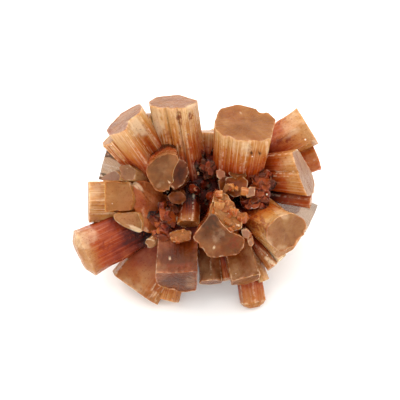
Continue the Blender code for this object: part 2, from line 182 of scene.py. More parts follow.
# %% Top crystals
TOP = {
    "top_left": faced(
        (-15.8, 14.6, 6.0),
        [(-19.3, 12.2), (-18.6, 13.4), (-16.6, 15.7), (-15.4, 16.4), (-13.0, 17.6), (-12.4, 17.6),
         (-12.0, 16.7), (-12.6, 15.6), (-14.6, 14.2), (-14.8, 13.2), (-15.2, 12.2), (-16.4, 11.6),
         (-18.6, 11.2)],
        facing=(-0.57, 0.77, 0.28), root=(-7.0, 2.0, 0.0), taper=0.85, stripe=0.5,
        tone=0.08, tan=-0.3),
    "top_left_ledge": prism(
        (-18.3, 10.7, 5.0), trilling(5.0, 6.4, 20, (3,)), root=(-7.6, -1.5, 0.5), taper=0.8,
        tone=-0.12, stripe=1.0),
    "top_left_shoulder": prism(
        (-12.4, 14.6, 4.6), trilling(5.0, 6.6, 10, ()), root=(-6.0, 1.0, 0.0), taper=0.9,
        ledge=0.4, groove=0.2, stripe=0.3, tone=0.16),
    "top_middle": faced(
        (-5.9, 18.0, 6.0),
        [(-10.9, 18.0), (-9.4, 19.0), (-7.4, 19.3), (-4.6, 19.5), (-1.9, 18.5), (-0.9, 18.2),
         (-1.9, 17.3), (-3.4, 16.6), (-4.9, 16.5), (-5.2, 16.75), (-5.5, 16.5), (-7.1, 16.5),
         (-7.4, 16.75), (-7.7, 16.5), (-9.0, 16.7), (-10.8, 17.3)],
        facing=(-0.06, 0.95, 0.31), root=(-2.8, 0, 0.0), taper=0.87, stripe=0.6, edge=0.3,
        tone=0.14, tan=-0.3),
    "top_right": faced(
        (8.4, 13.6, 11.0),
        [(2.1, 13.5), (2.6, 15.4), (3.4, 16.6), (7.0, 17.5), (10.8, 16.5), (11.3, 15.9),
         (13.0, 15.8), (14.5, 14.3), (13.8, 12.2), (13.5, 10.6), (12.2, 9.9), (9.6, 9.9),
         (9.2, 10.2), (8.8, 9.9), (6.8, 10.1), (5.4, 10.6), (5.1, 11.0), (4.6, 10.8), (3.8, 11.1),
         (2.4, 12.4)],
        facing=(0.1, 0.78, 0.62), root=(6.6, 0, 0), taper=0.8, stripe=0.5, edge=0.3,
        tone=0.02, tan=-0.25),
    "top_behind": prism(
        (1.0, 12.2, -1.0), trilling(5.4, 6.0, 0, ()), root=(1, 4, -2), taper=0.9, ledge=0.3,
        groove=0.0),
}

# %% [markdown]
# On the right the top prism is smooth and pale, the one below it is redder, and one at the
# back is see-through.

# %% Right-hand crystals
RIGHT_SIDE = {
    "right_upper": prism(
        (21.0, 13.3, -0.6), trilling(9.0, 8.8, 15, ()), root=(8.5, 5.6, -1.0), taper=0.9,
        ledge=0.3, groove=0.1, stripe=0.15, lump=0.3),
    "right_upper_ledge": prism(
        (22.9, 7.0, -3.5), trilling(6.2, 6.0, 30, ()), root=(5.2, 0.2, -2), taper=0.8, tone=-0.26,
        ledge=0.3, groove=0.1, stripe=0.1, lump=0.2),
    "right_side": faced(
        (20.2, 3.8, 5.8),
        [(18.8, 8.6), (17.6, 7.8), (18.2, 5.4), (18.7, 4.1), (18.9, 3.9), (18.9, 3.4), (19.4, 2.0),
         (20.6, -0.9), (22.1, -0.6), (22.4, 1.6), (22.0, 3.4), (21.2, 5.0), (20.0, 7.0)],
        facing=(0.9, 0.3, 0.3), root=(6.4, 4.0, -0.5), taper=0.6, stripe=0.25, pink=0.5,
        groove=0.6, tone=-0.06, tan=-0.1),
    "right_sliver": prism(
        (21.6, -1.9, 2.0), trilling(3.0, 4.6, 0, ()), root=(5, 0.4, 0), taper=0.9, tone=-0.3,
        stripe=0.2),
    "right_behind": prism(
        (21.8, -5.4, -1.0), trilling(6.4, 6.4, 0, ()), root=(12.6, -1.2, -1), taper=0.95,
        ledge=0.0, groove=0.0, end=0.3),
}

# %% [markdown]
# Five stout prisms reach towards the eye. Their ends lean each its own way, so most of them
# are given by their corners as seen and by the way they face. Three are smoky, and on all five
# the end's colour runs some way down the sides.

# %% Crystals that point at the eye
FRONT = {
    "lower_right": faced(
        (16.9, -7.9, 12.0),
        [(17.3, -3.9), (20.0, -5.3), (20.6, -6.9), (20.3, -8.3), (18.7, -9.5), (18.2, -10.9),
         (15.3, -12.0), (13.8, -11.0), (12.4, -9.4), (12.5, -7.0), (14.6, -4.9)],
        facing=(0.5, -0.35, 0.79), root=(8.0, -3.1, 0.5), taper=0.86, ledge=0.3, groove=0.1,
        stripe=0.1, lump=0.3, tone=0.06, tan=-0.12, pink=0.15, end=3.0, soft=2.4, edge=0.2),
    "lower_right_wall": prism(
        (17.0, -9.6, 8.0), trilling(9.0, 8.4, 20, ()), root=(6.0, 0.0, 0.0), taper=0.9, tone=0.15,
        ledge=0.3, groove=0.2, stripe=0.2, soft=0.6),
    "centre": faced(
        (3.0, -9.0, 17.5),
        [(1.4, -4.2), (2.5, -4.3), (3.9, -6.2), (5.8, -7.9), (7.3, -8.5), (8.4, -9.2), (8.2, -10.8),
         (6.9, -12.4), (4.6, -12.7), (3.0, -13.1), (1.1, -12.9), (-0.7, -10.9), (-2.1, -9.1),
         (-2.0, -8.4)],
        facing=(0.2, -0.4, 0.9), root=(3.8, -4.4, 3), taper=0.95, tone=-0.1, smoke=0.4,
        dusk=0.8, ledge=0.4, groove=0.1, stripe=0.1, lump=0.9, edge=0.4, end=2.0, soft=1.0),
    "left_centre": faced(
        (-8.2, 4.0, 17.0),
        [(-11.3, 4.2), (-10.7, 5.4), (-9.0, 6.8), (-6.8, 7.6), (-4.9, 7.2), (-4.6, 6.0), (-5.5, 4.3),
         (-5.8, 3.0), (-5.5, 1.8), (-6.5, 0.1), (-8.0, -0.2), (-9.4, 0.1), (-9.9, 1.1),
         (-10.7, 2.1)],
        facing=(-0.11, -0.24, 0.96), root=(-8.3, 6.6, 5), taper=0.97, tone=-0.05, smoke=0.65,
        dusk=0.7, ledge=0.4, groove=0.1, stripe=0.1, lump=0.6, edge=0.12, end=4.0, soft=7.0),
    "bottom_centre": faced(
        (-5.0, -17.8, 10.5),
        [(-9.4, -15.9), (-5.6, -15.9), (-1.0, -15.5), (-1.1, -17.0), (-1.2, -19.6), (-4.2, -20.0),
         (-6.8, -19.4), (-9.1, -18.4), (-9.5, -16.7)],
        facing=(-0.1, -0.86, 0.5), root=(-4.5, -3.5, 3), taper=0.97, tone=-0.1, smoke=0.9,
        dusk=0.8, ledge=0.4, groove=0.1, stripe=0.1, lump=0.3, pink=0.4, edge=0.3, end=3.0,
        soft=2.0, tan=-0.35),
}

# %% [markdown]
# On the left a rough red block sits between the front prism and the hollow, and the lowest
# prism is so rounded that its end is a low dome. The crown gives a dome: how far it rises, and
# what is left of the end's width on top.

# %% Left-hand crystals
ROUNDED = np.array([
    (5.1, 0.4), (4.4, 2.6), (2.9, 3.8), (0.2, 4.2), (-2.8, 3.6), (-4.6, 2.2), (-5.1, -0.2),
    (-4.5, -2.4), (-2.7, -3.7), (0.1, -4.2), (2.6, -3.9), (4.4, -2.6)])
LEFT_SIDE = {
    "left_body": faced(
        (-10.6, -2.6, 7.1),
        [(-14.0, 2.2), (-12.0, 2.4), (-8.4, 1.3), (-6.9, -0.8), (-6.5, -3.4), (-7.2, -6.0), (-8.8, -7.7),
         (-10.8, -8.3), (-12.2, -7.6), (-13.0, -4.6), (-14.0, -3.0)],
        facing=(0.42, -0.04, 0.90), root=(-8.4, -2.4, 0), taper=1.0, crown=(1.0, 0.5), tone=-0.44,
        ledge=0.3, groove=0.1, stripe=0.1, lump=0.4, end=4.0, edge=0.0, soft=1.0),
    "left_side": prism(
        (-22.9, -2.0, 1.5), trilling(9.6, 8.6, 30, (5,)), root=(-4, -1.8, 0), taper=0.95,
        tone=0.04, stripe=0.6, ledge=0.6),
    "left_front": faced(
        (-17.0, -1.0, 8.0),
        [(-19.6, 2.1), (-17.4, 2.3), (-14.6, 2.1), (-13.9, 0.4), (-13.7, -1.6), (-14.4, -3.8),
         (-18.0, -3.9), (-19.6, -4.2)],
        facing=(-0.35, 0.05, 0.93), root=(-8.8, -1.6, -2.0), taper=1.2, ledge=0.3, groove=0.1,
        stripe=0.1, lump=0.6, tone=-0.1, tan=-0.3, edge=0.0, end=3.0, soft=1.0),
    "left_low": faced(
        (-14.5, -6.0, 8.4),
        [(-18.0, -4.4), (-17.7, -5.6), (-16.0, -6.8), (-14.0, -7.8), (-12.4, -8.2), (-11.8, -7.4),
         (-12.0, -5.7), (-12.8, -4.0), (-15.5, -4.1)],
        facing=(-0.1, -0.4, 0.9), root=(-7.5, -2.5, 0.0), taper=1.15, crown=(0.5, 0.6), ledge=0.4,
        stripe=0.1, lump=0.6, pink=0.3, tone=-0.14, tan=0.05, edge=0.3, end=4.0),
    "left_upper": prism(
        (-20.1, 5.6, -1.0), trilling(7.4, 7.4, 30, ()), root=(-8, 2.4, -1), taper=0.9,
        ledge=0.0, groove=0.0, end=0.3),
    "left_upper_front": faced(
        (-15.0, 4.0, 8.0), [(-16.8, 5.2), (-14.6, 5.6), (-13.1, 4.4), (-13.6, 2.3), (-16.3, 2.3)],
        facing=(-0.3, 0.35, 0.88), root=(-8, 1, 0), taper=1.3, smoke=0.3, pink=0.4, lump=0.2),
    "left_upper_shard": faced(
        (-18.4, 3.0, 5.4), [(-20.6, 2.3), (-19.4, 3.6), (-17.4, 4.4), (-16.4, 3.2), (-16.6, 2.2)],
        facing=(-0.4, 0.5, 0.77), root=(-8, 0, 0), taper=1.2, tone=0.15, pink=0.7),
    "low_left": prism(
        (-23.6, -12.2, 3.4), ROUNDED, root=(-4.0, -2.6, 0.5), taper=0.8, crown=(1.3, 0.6),
        ledge=0.4, groove=0.2, stripe=0.3, pink=0.3, lump=0.25, tone=-0.25, tan=0.25, edge=0.2, soft=2.5),
}

# %% [markdown]
# At the bottom two outlines are drawn corner by corner, because those prisms are no plain
# twins. What would reach below the table is cut away later.

# %% Bottom crystals
BROAD = np.array([
    (5.8, 0.6), (4.9, -3.4), (-2.9, -4.4), (-3.2, -3.9), (-3.5, -4.3), (-4.0, -3.8), (-4.3, -4.1),
    (-5.8, -2.6), (-5.4, 2.5), (0.5, 4.8), (4.6, 3.2)])
BLOCKY = np.array([(3.0, 0.5), (2.8, -2.6), (-2.9, -2.9), (-3.3, -2.2), (-3.0, 2.0), (0.0, 3.2)])
BOTTOM = {
    "bottom_left": prism(
        (-13.6, -19.2, -3.0), BROAD, root=(-2.6, -3.4, -1), taper=0.9, smoke=0.2, ledge=0.15,
        groove=0.1, stripe=0.1, lump=0.3, tone=-0.12, soft=1.5),
    "bottom_middle": prism(
        (-7.2, -21.6, -2.0), trilling(5.4, 6.0, 0, (5,)), root=(-2.0, -3, -1), tone=-0.15),
    "bottom_small": prism(
        (1.6, -18.0, 4.6), trilling(5.4, 5.0, 20, ()), root=(0.6, -3, 1), taper=1.0, smoke=0.9,
        ledge=0.4, stripe=0.2, lump=0.3),
    "bottom_small_right": prism(
        (5.0, -17.4, 3.4), trilling(3.6, 4.0, 0, ()), root=(2, -3, 1), taper=1.0, tone=-0.25,
        ledge=0.4, stripe=0.3),
    "bottom_right": prism(
        (8.4, -17.7, 5.0), BLOCKY, root=(4.6, -3, 1), taper=0.9, smoke=0.7, ledge=0.2,
        groove=0.1, stripe=0.1, lump=0.2, soft=1.0),
    "bottom_rim": prism(
        (12.2, -17.8, 1.0), trilling(2.6, 4.0, 0, ()), root=(7, -4, 1), taper=0.9, stripe=0.2),
    "lowest": prism(
        (10.0, -22.0, -1.0), trilling(5.6, 5.0, 12, ()), root=(7.2, -4, 0), crown=(1.2, 0.62),
        tone=-0.22, taper=0.9, ledge=0.3, groove=0.1, stripe=0.2),
    "thin": prism(
        (13.9, -15.0, 3.0), trilling(2.8, 4.2, 20, ()), root=(6, -4.6, 2), taper=0.9, tone=-0.1,
        stripe=0.3),
    "thin_pale": prism(
        (15.7, -13.4, 2.0), trilling(2.8, 4.0, 0, ()), root=(8, -5, 1), taper=0.9, tone=0.3,
        stripe=0.2, ledge=0.3),
}

# %% [markdown]
# Between the stout crystals of the front sit smaller ones, brown and clearer, which fill the
# hollow and leave only its deepest part dark.

# %% Filling crystals
def bright(tip, seen, facing, root, tone=-0.2, **finish):
    """A small grain with plain sides and a pinkish grey end."""
    return faced(tip, seen, facing, root, taper=1.0, tone=tone, pink=1.0, coarse=True, grain=9.0,
                 **finish)


FILLING = {
    "half_hidden": faced(
        (-4.6, 3.6, 12.8),
        [(-5.6, 6.7), (-4.0, 6.4), (-3.1, 5.6), (-2.8, 4.6), (-2.8, 3.5), (-3.2, 2.5), (-3.9, 1.5),
         (-5.6, 0.3), (-6.8, 1.4)],
        facing=(0.25, -0.1, 0.95), root=(-4.0, 2.4, 2), taper=0.9, smoke=1.0, ledge=0.3,
        groove=0.1, edge=0.5),
    "under_left_centre": faced(
        (-5.2, -1.4, 12.0),
        [(-7.2, -0.9), (-6.2, 0.0), (-4.4, 0.2), (-3.4, -0.6), (-3.3, -1.8), (-4.4, -2.6),
         (-6.2, -2.4)],
        facing=(0.1, -0.1, 0.98), root=(-4.6, 0.2, 3), taper=0.95, crown=(0.6, 0.45), smoke=1.0,
        ledge=0.4, lump=0.4, edge=0.2),
    "streaked": prism(
        (-2.9, -6.5, 10.4), trilling(5.0, 3.6, 0, ()), root=(-2.6, 0.6, 5.6), taper=1.0, tone=-0.2,
        stripe=0.5, smoke=0.45, tan=-0.3, lump=0.2),
    "red_block": faced(
        (-7.0, -4.6, 9.6),
        [(-8.8, -3.0), (-6.4, -2.2), (-4.8, -3.4), (-5.0, -6.0), (-7.2, -7.0), (-8.6, -5.4)],
        facing=(0.2, 0.1, 0.97), root=(-5.6, -3.0, 2), taper=1.0, crown=(1.2, 0.3), tone=-0.46,
        lump=0.3, end=3.0),
    "block": faced(
        (-4.6, -8.6, 13.2),
        [(-6.8, -8.0), (-5.0, -7.3), (-2.2, -7.6), (-2.4, -9.6), (-4.4, -10.0), (-6.3, -9.9)],
        facing=(-0.1, 0.45, 0.88), root=(-3.6, -9.4, 2), taper=1.1, crown=(0.5, 0.6), smoke=0.5,
        tone=-0.3, lump=0.3, edge=0.5),
    "facet": prism(
        (-10.6, -10.2, 8.6), trilling(2.4, 2.8, 0, ()), root=(-5.0, -6.4, 1), taper=1.3,
        smoke=0.6, edge=0.6),
    "between": prism(
        (-8.4, -6.4, 8.0), trilling(4.4, 4.0, 10, ()), root=(-5.0, -2.0, 2), taper=1.2,
        crown=(1.0, 0.4), tone=-0.5, lump=0.4),
    "between_low": prism(
        (-7.8, -8.8, 9.2), trilling(4.6, 3.6, 40, ()), root=(-4.6, -5.0, 2), taper=1.2,
        crown=(0.9, 0.4), tone=-0.42, lump=0.4),
    "centre_shoulder": faced(
        (4.6, -4.0, 15.0),
        [(0.9, -4.4), (1.5, -1.6), (2.5, 0.4), (4.9, -0.4), (6.0, -2.6), (8.1, -4.6), (7.7, -7.2),
         (5.4, -8.0), (1.4, -7.6)],
        facing=(0.30, 0.42, 0.86), root=(3.8, -2.4, 3), taper=0.95, tone=-0.2, smoke=0.25,
        lump=0.5, end=6.0, soft=1.5),
    "brown_block": faced(
        (6.4, 1.4, 10.6), [(4.4, 2.9), (7.6, 3.4), (9.0, 2.2), (8.6, -0.4), (6.2, -1.3), (4.2, 0.0)],
        facing=(-0.2, 0.3, 0.93), root=(5.4, 2.4, 2), taper=1.0, crown=(0.8, 0.5), smoke=1.0,
        lump=0.3, end=2.0),
    "brown_block_left": faced(
        (4.4, 1.6, 9.6), [(2.7, 2.4), (4.6, 3.4), (6.2, 2.0), (5.6, -0.6), (3.4, -0.4)],
        facing=(0.35, -0.1, 0.93), root=(4.2, 2.0, 2), taper=1.0, smoke=1.0, tone=-0.2, lump=0.3,
        end=2.0),
    "brown_block_up": faced(
        (6.8, 3.6, 9.8), [(4.8, 3.6), (6.0, 4.9), (8.2, 4.6), (8.8, 3.0), (7.0, 2.0)],
        facing=(0.1, 0.6, 0.8), root=(6.0, 4.0, 2), taper=1.0, smoke=0.8, lump=0.3, end=2.0),
    "red_grains": faced(
        (11.4, 2.6, 8.6),
        [(9.4, 3.4), (11.4, 4.8), (13.6, 3.6), (13.8, 1.2), (11.8, 0.0), (9.8, 0.8)],
        facing=(0.2, 0.3, 0.93), root=(9.0, 3.0, 0), taper=1.0, crown=(1.1, 0.35), tone=-0.48,
        lump=0.5, end=3.0),
    "red_grains_low": faced(
        (9.8, -1.6, 9.4),
        [(7.2, -0.6), (9.6, 0.6), (12.6, -0.2), (13.0, -2.2), (10.2, -3.6), (7.6, -2.8)],
        facing=(-0.1, 0.5, 0.86), root=(7.4, 0.0, 0), taper=1.0, crown=(1.1, 0.35), tone=-0.48,
        lump=0.5, end=3.0),
    "red_grains_left": faced(
        (0.6, 4.4, 7.6), [(-1.0, 4.6), (0.4, 6.4), (2.4, 6.0), (2.8, 3.8), (1.0, 2.8)],
        facing=(0.2, -0.2, 0.96), root=(0.6, 4.0, 0), taper=1.0, crown=(0.9, 0.3), tone=-0.62,
        lump=0.5, end=3.0),
    "bright_grain": bright(
        (3.5, 3.4, 9.4), [(2.5, 4.2), (3.4, 4.6), (4.4, 4.1), (4.5, 3.0), (3.6, 2.3), (2.7, 2.8)],
        facing=(0.1, 0.2, 0.97), root=(3.4, 3.5, 4), tone=-0.3, tan=0.3),
    "grey_grain": bright(
        (9.3, 0.1, 11.6), [(8.3, 0.2), (9.2, 1.2), (10.3, 0.9), (10.2, -0.7), (8.6, -1.2)],
        facing=(0.2, 0.4, 0.9), root=(9.2, 0.2, 6)),
    "grey_grain_right": bright(
        (8.4, -8.1, 15.2), [(7.4, -7.5), (8.6, -7.1), (9.5, -8.2), (8.9, -9.2), (7.8, -9.0)],
        facing=(0.0, 0.2, 0.98), root=(8.2, -7.8, 8)),
    "grey_grain_low": bright(
        (9.4, -10.1, 14.6), [(8.7, -9.7), (9.6, -9.3), (10.2, -10.1), (9.6, -10.9), (8.9, -10.6)],
        facing=(0.1, 0.2, 0.97), root=(8.0, -5.0, 1)),
    "hollow_grain": bright(
        (-1.5, 0.6, 8.4), [(-2.0, 0.8), (-1.5, 1.1), (-1.0, 0.7), (-1.2, 0.1), (-1.8, 0.1)],
        facing=(0.1, 0.3, 0.95), root=(-1.5, 0.7, 4), tone=-0.3),
    "hollow_grain_up": bright(
        (-1.0, 3.7, 7.8), [(-1.4, 3.8), (-1.0, 4.1), (-0.6, 3.8), (-0.7, 3.3), (-1.2, 3.3)],
        facing=(0.1, 0.3, 0.95), root=(-1.0, 3.8, 4), tone=-0.3),
}

# %% [markdown]
# The far side was never looked at, so its fourteen prisms are plain ones of the same habit,
# given as the cluster stands: to the right, back, and up.

# %% Far side crystals
FAR_PLACES = [
    (-5.0, 16.0, 3.0, 9.0, 20), (9.0, 16.0, 0.0, 10.0, 10), (16.5, 12.0, -1.0, 8.5, 30),
    (-15.5, 12.0, 0.0, 8.8, 0), (18.6, 6.0, -9.0, 8.4, 15), (-19.0, 6.0, -8.0, 8.6, 25),
    (13.5, -4.0, -13.5, 8.6, 5), (-14.5, -4.0, -13.5, 9.0, 12), (3.0, -6.0, -17.0, 8.6, 33),
    (-5.0, 4.0, -17.5, 10.0, 0), (7.0, 8.0, -16.0, 9.6, 20), (-9.0, 13.0, -10.5, 9.6, 8),
    (2.5, 17.5, -5.5, 9.6, 28), (13.5, 11.0, -10.5, 8.0, 18),
]


def as_seen(right, back, rise):
    """Up = back sin(lean) + rise cos(lean); towards = rise sin(lean) - back cos(lean)."""
    return (right, back * sin(LEAN) + rise * cos(LEAN), rise * sin(LEAN) - back * cos(LEAN))


FAR_SIDE = {
    f"far_{number:02d}": prism(
        as_seen(*place), trilling(width, 0.94 * width, turn), taper=HIDDEN_TAPER, grain=0.5)
    for number, (*place, width, turn) in enumerate(FAR_PLACES)}
print(len({**TOP, **RIGHT_SIDE, **FRONT, **LEFT_SIDE, **BOTTOM, **FILLING}), "crystals in view,",
      len(FAR_SIDE), "behind")

# %% [markdown]
# Where the stout crystals part, the middle is not bare: it is lined with a druse of hundreds
# of tiny pointed crystals. Their low tones paint them near black-red, part the staining of the
# deep parts and part painted shade of the hollow. They are strewn by a seeded random generator,
# one even spread over the whole ball.

# %% Druse
CORE_RADIUS = 9.6
CORE_SHARE = np.array((1.04, 0.96, 0.94))
CORE_PLACE = np.array((0.4, -0.4, -2.6))
DRUSE_COUNT = 260
DRUSE_SIZES = (1.1, 2.6)
# Low tones: near black-red, part staining and part painted shade of the hollow.
DRUSE_TONES = (-0.85, -0.6)
DRUSE_SEED = 77
GOLDEN_TURN = np.pi * (3 - np.sqrt(5))
TINY = {"coarse": True, "grain": 9.0, "ledge": 0.0, "groove": 0.0, "chip": 0.0, "end": 0.0, "edge": 0.1}


def druse(count, seed):
    """Tiny pointed prisms on a golden spiral over the core: turn k x 137.5 degrees, height
    1 - 2k / count, each pushed about and leaned by the generator."""
    rng = np.random.default_rng(seed)
    steps = np.arange(count)
    tall = 1 - 2 * (steps + 0.5) / count
    round_ = GOLDEN_TURN * steps
    flat = np.sqrt(1 - tall**2)
    way = np.stack((flat * np.cos(round_), flat * np.sin(round_), tall), -1)
    way = unit(way + rng.normal(0, 0.06, way.shape))
    foot = CORE_PLACE + 0.8 * CORE_RADIUS * CORE_SHARE * way
    tips = CORE_PLACE + CORE_SHARE * CORE_RADIUS * unit(way + rng.normal(0, 0.07, way.shape)) * (
        1 + rng.uniform(0.02, 0.2, (count, 1)))
    sizes, turns = rng.uniform(*DRUSE_SIZES, count), rng.uniform(0, 60, count)
    tones = rng.uniform(*DRUSE_TONES, count)
    return {
        f"druse_{k:03d}": prism(
            tips[k], trilling(sizes[k], 0.9 * sizes[k], turns[k], ()), root=foot[k], taper=1.0,
            crown=(0.5 * sizes[k], 0.3), tone=tones[k], **TINY)
        for k in steps}


DRUSE = druse(DRUSE_COUNT, DRUSE_SEED)
print(len(DRUSE), "druse crystals")

# %% [markdown]
# Round the hollow, the ends of the smaller crystals are rough with grains that settled late.
# Each is a tiny prism that stands a little out of the end below it.

# %% Strewn grains
STREWN = {
    "red_grains": (18, -0.63), "red_grains_low": (18, -0.6), "red_grains_left": (12, -0.7),
    "red_block": (9, -0.64), "between": (10, -0.66), "between_low": (9, -0.64),
    "centre_shoulder": (20, -0.2), "brown_block": (5, -0.22), "block": (4, -0.22)}
GRAIN_SIZES = (0.9, 2.6)
GRAIN_LEAN = 0.4


def strewn(name, crystal, count, tone, seed):
    """Grains on a free end: a random place on the outline, drawn towards the middle by a random
    inset and raised as the crown is, with an axis that leans at random from the way it faces."""
    rng = np.random.default_rng(seed)
    corners = crystal.corners
    side, share = rng.integers(0, len(corners), count), rng.uniform(0, 1, (count, 1))
    brink = corners[side] * (1 - share) + np.roll(corners, -1, axis=0)[side] * share
    inset = 1 - 0.92 * np.sqrt(rng.uniform(0, 1, (count, 1)))
    rise, left = crystal.crown or (0, 0)
    middle = corners.mean(axis=0)
    foot = middle + (1 - inset) * (brink - middle)
    foot = foot + rise * np.clip(inset / (1 - left), 0, 1) * crystal.facing
    way = unit(crystal.facing + rng.normal(0, GRAIN_LEAN, (count, 3)))
    sizes, turns = rng.uniform(*GRAIN_SIZES, count), rng.uniform(0, 60, count)
    tips = foot + way * 0.12 * sizes[:, None] * rng.uniform(-0.4, 1, (count, 1))
    tones = tone + rng.uniform(-0.14, 0.14, count)
    return {
        f"{name}_grain_{k:02d}": prism(
            tips[k], trilling(sizes[k], 0.65 * sizes[k], turns[k], ()), root=tips[k] - 1.5 * way[k],
            taper=1.0, tone=tones[k], span=8.0, dusk=0.5, **TINY)
        for k in range(count)}


GRAINS = {}
for number, (name, (count, tone)) in enumerate(STREWN.items()):
    GRAINS |= strewn(name, FILLING[name], count, tone, number)
print(len(GRAINS), "strewn grains")

# %% [markdown]
# ## One crystal as a surface
#
# A crystal's whole skin is one grid: its columns run round the prism and its rows run from
# the root, up the sides, over the rim and in to the middle of the end face. Every mark is
# then a function of the two: how far round, in millimetres, and how far below the rim.
# Grooves cut this way are real shape, so they catch the light and stay in the mesh.

# %% Round the outline
def finer(corners, spacing):
    """Splits each side of a closed outline evenly, about spacing apart, and keeps corners.
    Gives the points, the side that each is on, and its share of that side."""
    ahead = np.roll(corners, -1, axis=0) - corners
    counts = np.maximum(1, np.round(np.linalg.norm(ahead, axis=1) / spacing)).astype(int)
    side = np.repeat(np.arange(len(corners)), counts)
    share = np.concatenate([np.arange(count) / count for count in counts])
    return corners[side] + ahead[side] * share[:, None], side, share


def blunt(ring, times):
    """Rounds off a closed outline: each point becomes (before + 2 itself + after) / 4, again
    and again."""
    for _ in range(times):
        ring = (np.roll(ring, 1, axis=0) + 2 * ring + np.roll(ring, -1, axis=0)) / 4
    return ring


def outward(corners, side, share, axis):
    """Each side's own direction out, square to the axis; at a corner, the mean of its two."""
    ahead = np.roll(corners, -1, axis=0) - corners
    out = unit(np.cross(ahead, axis))
    middle = corners.mean(axis=0)
    spin = np.sign(((corners - middle) * out).sum())
    out = out * spin
    at_corner = unit(out + np.roll(out, 1, axis=0))
    return np.where(share[:, None] == 0, at_corner[side], out[side])


print(len(finer(TOP["top_middle"].corners, 0.25)[0]), "columns round the top prism")

# %% [markdown]
# Nothing in a stone is quite even. Value noise makes waves, striae, lumps and hillocks uneven,
# and one smooth step from 0 to 1 serves wherever something fades out.

# %% Soft noise
def smooth(x):
    """0 below 0, 1 above 1, and 3x^2 - 2x^3 between."""
    x = np.clip(x, 0, 1)
    return x * x * (3 - 2 * x)


def soft_noise(rng, x, y, cells=64):
    """Value noise from -1 to 1: random heights on a grid of whole numbers, smoothly mixed."""
    table = rng.uniform(-1, 1, (cells, cells))
    left, low = np.floor(x).astype(int), np.floor(y).astype(int)
    fx, fy = smooth(x - left), smooth(y - low)

    def at(i, j):
        """The height at one corner of the cell."""
        return table[(left + i) % cells, (low + j) % cells]

    return ((at(0, 0) * (1 - fx) + at(1, 0) * fx) * (1 - fy)
            + (at(0, 1) * (1 - fx) + at(1, 1) * fx) * fy)


print("a quarter of the way up a smooth step is", smooth(0.25))

# %% [markdown]
# ## Growth marks
#
# The sides of aragonite prisms are striped lengthwise. There are three sizes of stripe:
# broad ledges, where one twin stands prouder than the next, narrow V grooves between them,
# and fine striae. All only cut inwards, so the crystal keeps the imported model's size.

# %% Lengthwise marks
LEDGE_WIDTH = 1.3
LEDGE_STEP = 0.045
GROOVE_EVERY = 1.6
GROOVE_DEPTH = 0.045
STRIA_WIDTH = 0.32
STRIA_STEP = 0.035
STRIA_LENGTH = 7
WAVE_WIDTH = 1.4
WAVE_LENGTH = 4
WAVE_STEP = 0.05


def ledges(rng, lane, below, girth, step):
    """Flat panels of random depth between random places round the prism; some of them stop
    short of the rim. Gives the depth and a shade from -1 to 1 for each panel."""
    count = max(3, int(girth / LEDGE_WIDTH))
    edges = np.sort(rng.uniform(0, girth, count))
    panel = np.searchsorted(edges, lane) % count
    depth = rng.uniform(0, 1, count) ** 1.5 * step
    stop = rng.uniform(-3, 4, count)
    shade = rng.uniform(-1, 1, count)
    fade = smooth((below - stop[panel]) / 0.6)
    return depth[panel] * (0.35 + 0.65 * fade), shade[panel] + 0 * below


def grooves(rng, lane, below, girth, step):
    """The deepest of many V cuts: depth (1 - |distance round| / half width), each fading in
    and out lengthwise."""
    count = max(2, int(girth / GROOVE_EVERY))
    deepest = np.zeros(np.broadcast(lane, below).shape)
    for _ in range(count):
        place, half = rng.uniform(0, girth), rng.uniform(0.18, 0.42)
        start, stop = rng.uniform(-2, 5), rng.uniform(5, 16)
        depth = rng.uniform(0.3, 1.0) * step
        drift = rng.uniform(-0.03, 0.03) * below
        away = np.abs((lane + drift - place + girth / 2) % girth - girth / 2)
        span = smooth((below - start) / 0.8) * smooth((stop - below) / 2.0)
        deepest = np.maximum(deepest, depth * span * np.clip(1 - away / half, 0, 1))
    return deepest


def chips(rng, lane, below, girth, step):
    """Bites out of the rim: round hollows, deepest at the rim and gone a little below it."""
    bitten = np.zeros(np.broadcast(lane, below).shape)
    for _ in range(max(2, int(girth / 4))):
        place, half = rng.uniform(0, girth), rng.uniform(0.3, 1.1)
        depth = rng.uniform(0.2, 1.0) ** 2 * step
        away = np.abs((lane - place + girth / 2) % girth - girth / 2) / half
        bitten = np.maximum(bitten, depth * np.sqrt(np.clip(1 - away**2, 0, 1))
                            * np.clip(1 - below / (1.4 * half), 0, 1))
    return bitten


# %% [markdown]
# The flat end is a growth face. It is dull with low hillocks and a few faint terraces, and
# its rim stands a hair higher than its middle.

# %% Marks of the end face
HILLOCK = 1.3
HILLOCK_STEP = 0.05
TERRACE = 2.4
TERRACE_STEP = 0.09


def stepped(level):
    """Whole steps with a soft edge: floor + smooth of six times the rest."""
    floor = np.floor(level)
    return floor + smooth((level - floor) * 6)


def end_relief(rng, x, y, inset, step):
    """Hillocks from noise, plus terraces: noise rounded to whole steps, for which a soft
    edge is kept, all sunk from the rim inwards."""
    hillocks = HILLOCK_STEP * (1 + soft_noise(rng, x / HILLOCK, y / HILLOCK)) / 2
    level = 1.5 * (1 + soft_noise(rng, x / TERRACE + 7, y / TERRACE + 3))
    terraces = TERRACE_STEP * stepped(level) / 3
    return (hillocks + terraces) * step * smooth(inset / 0.08)
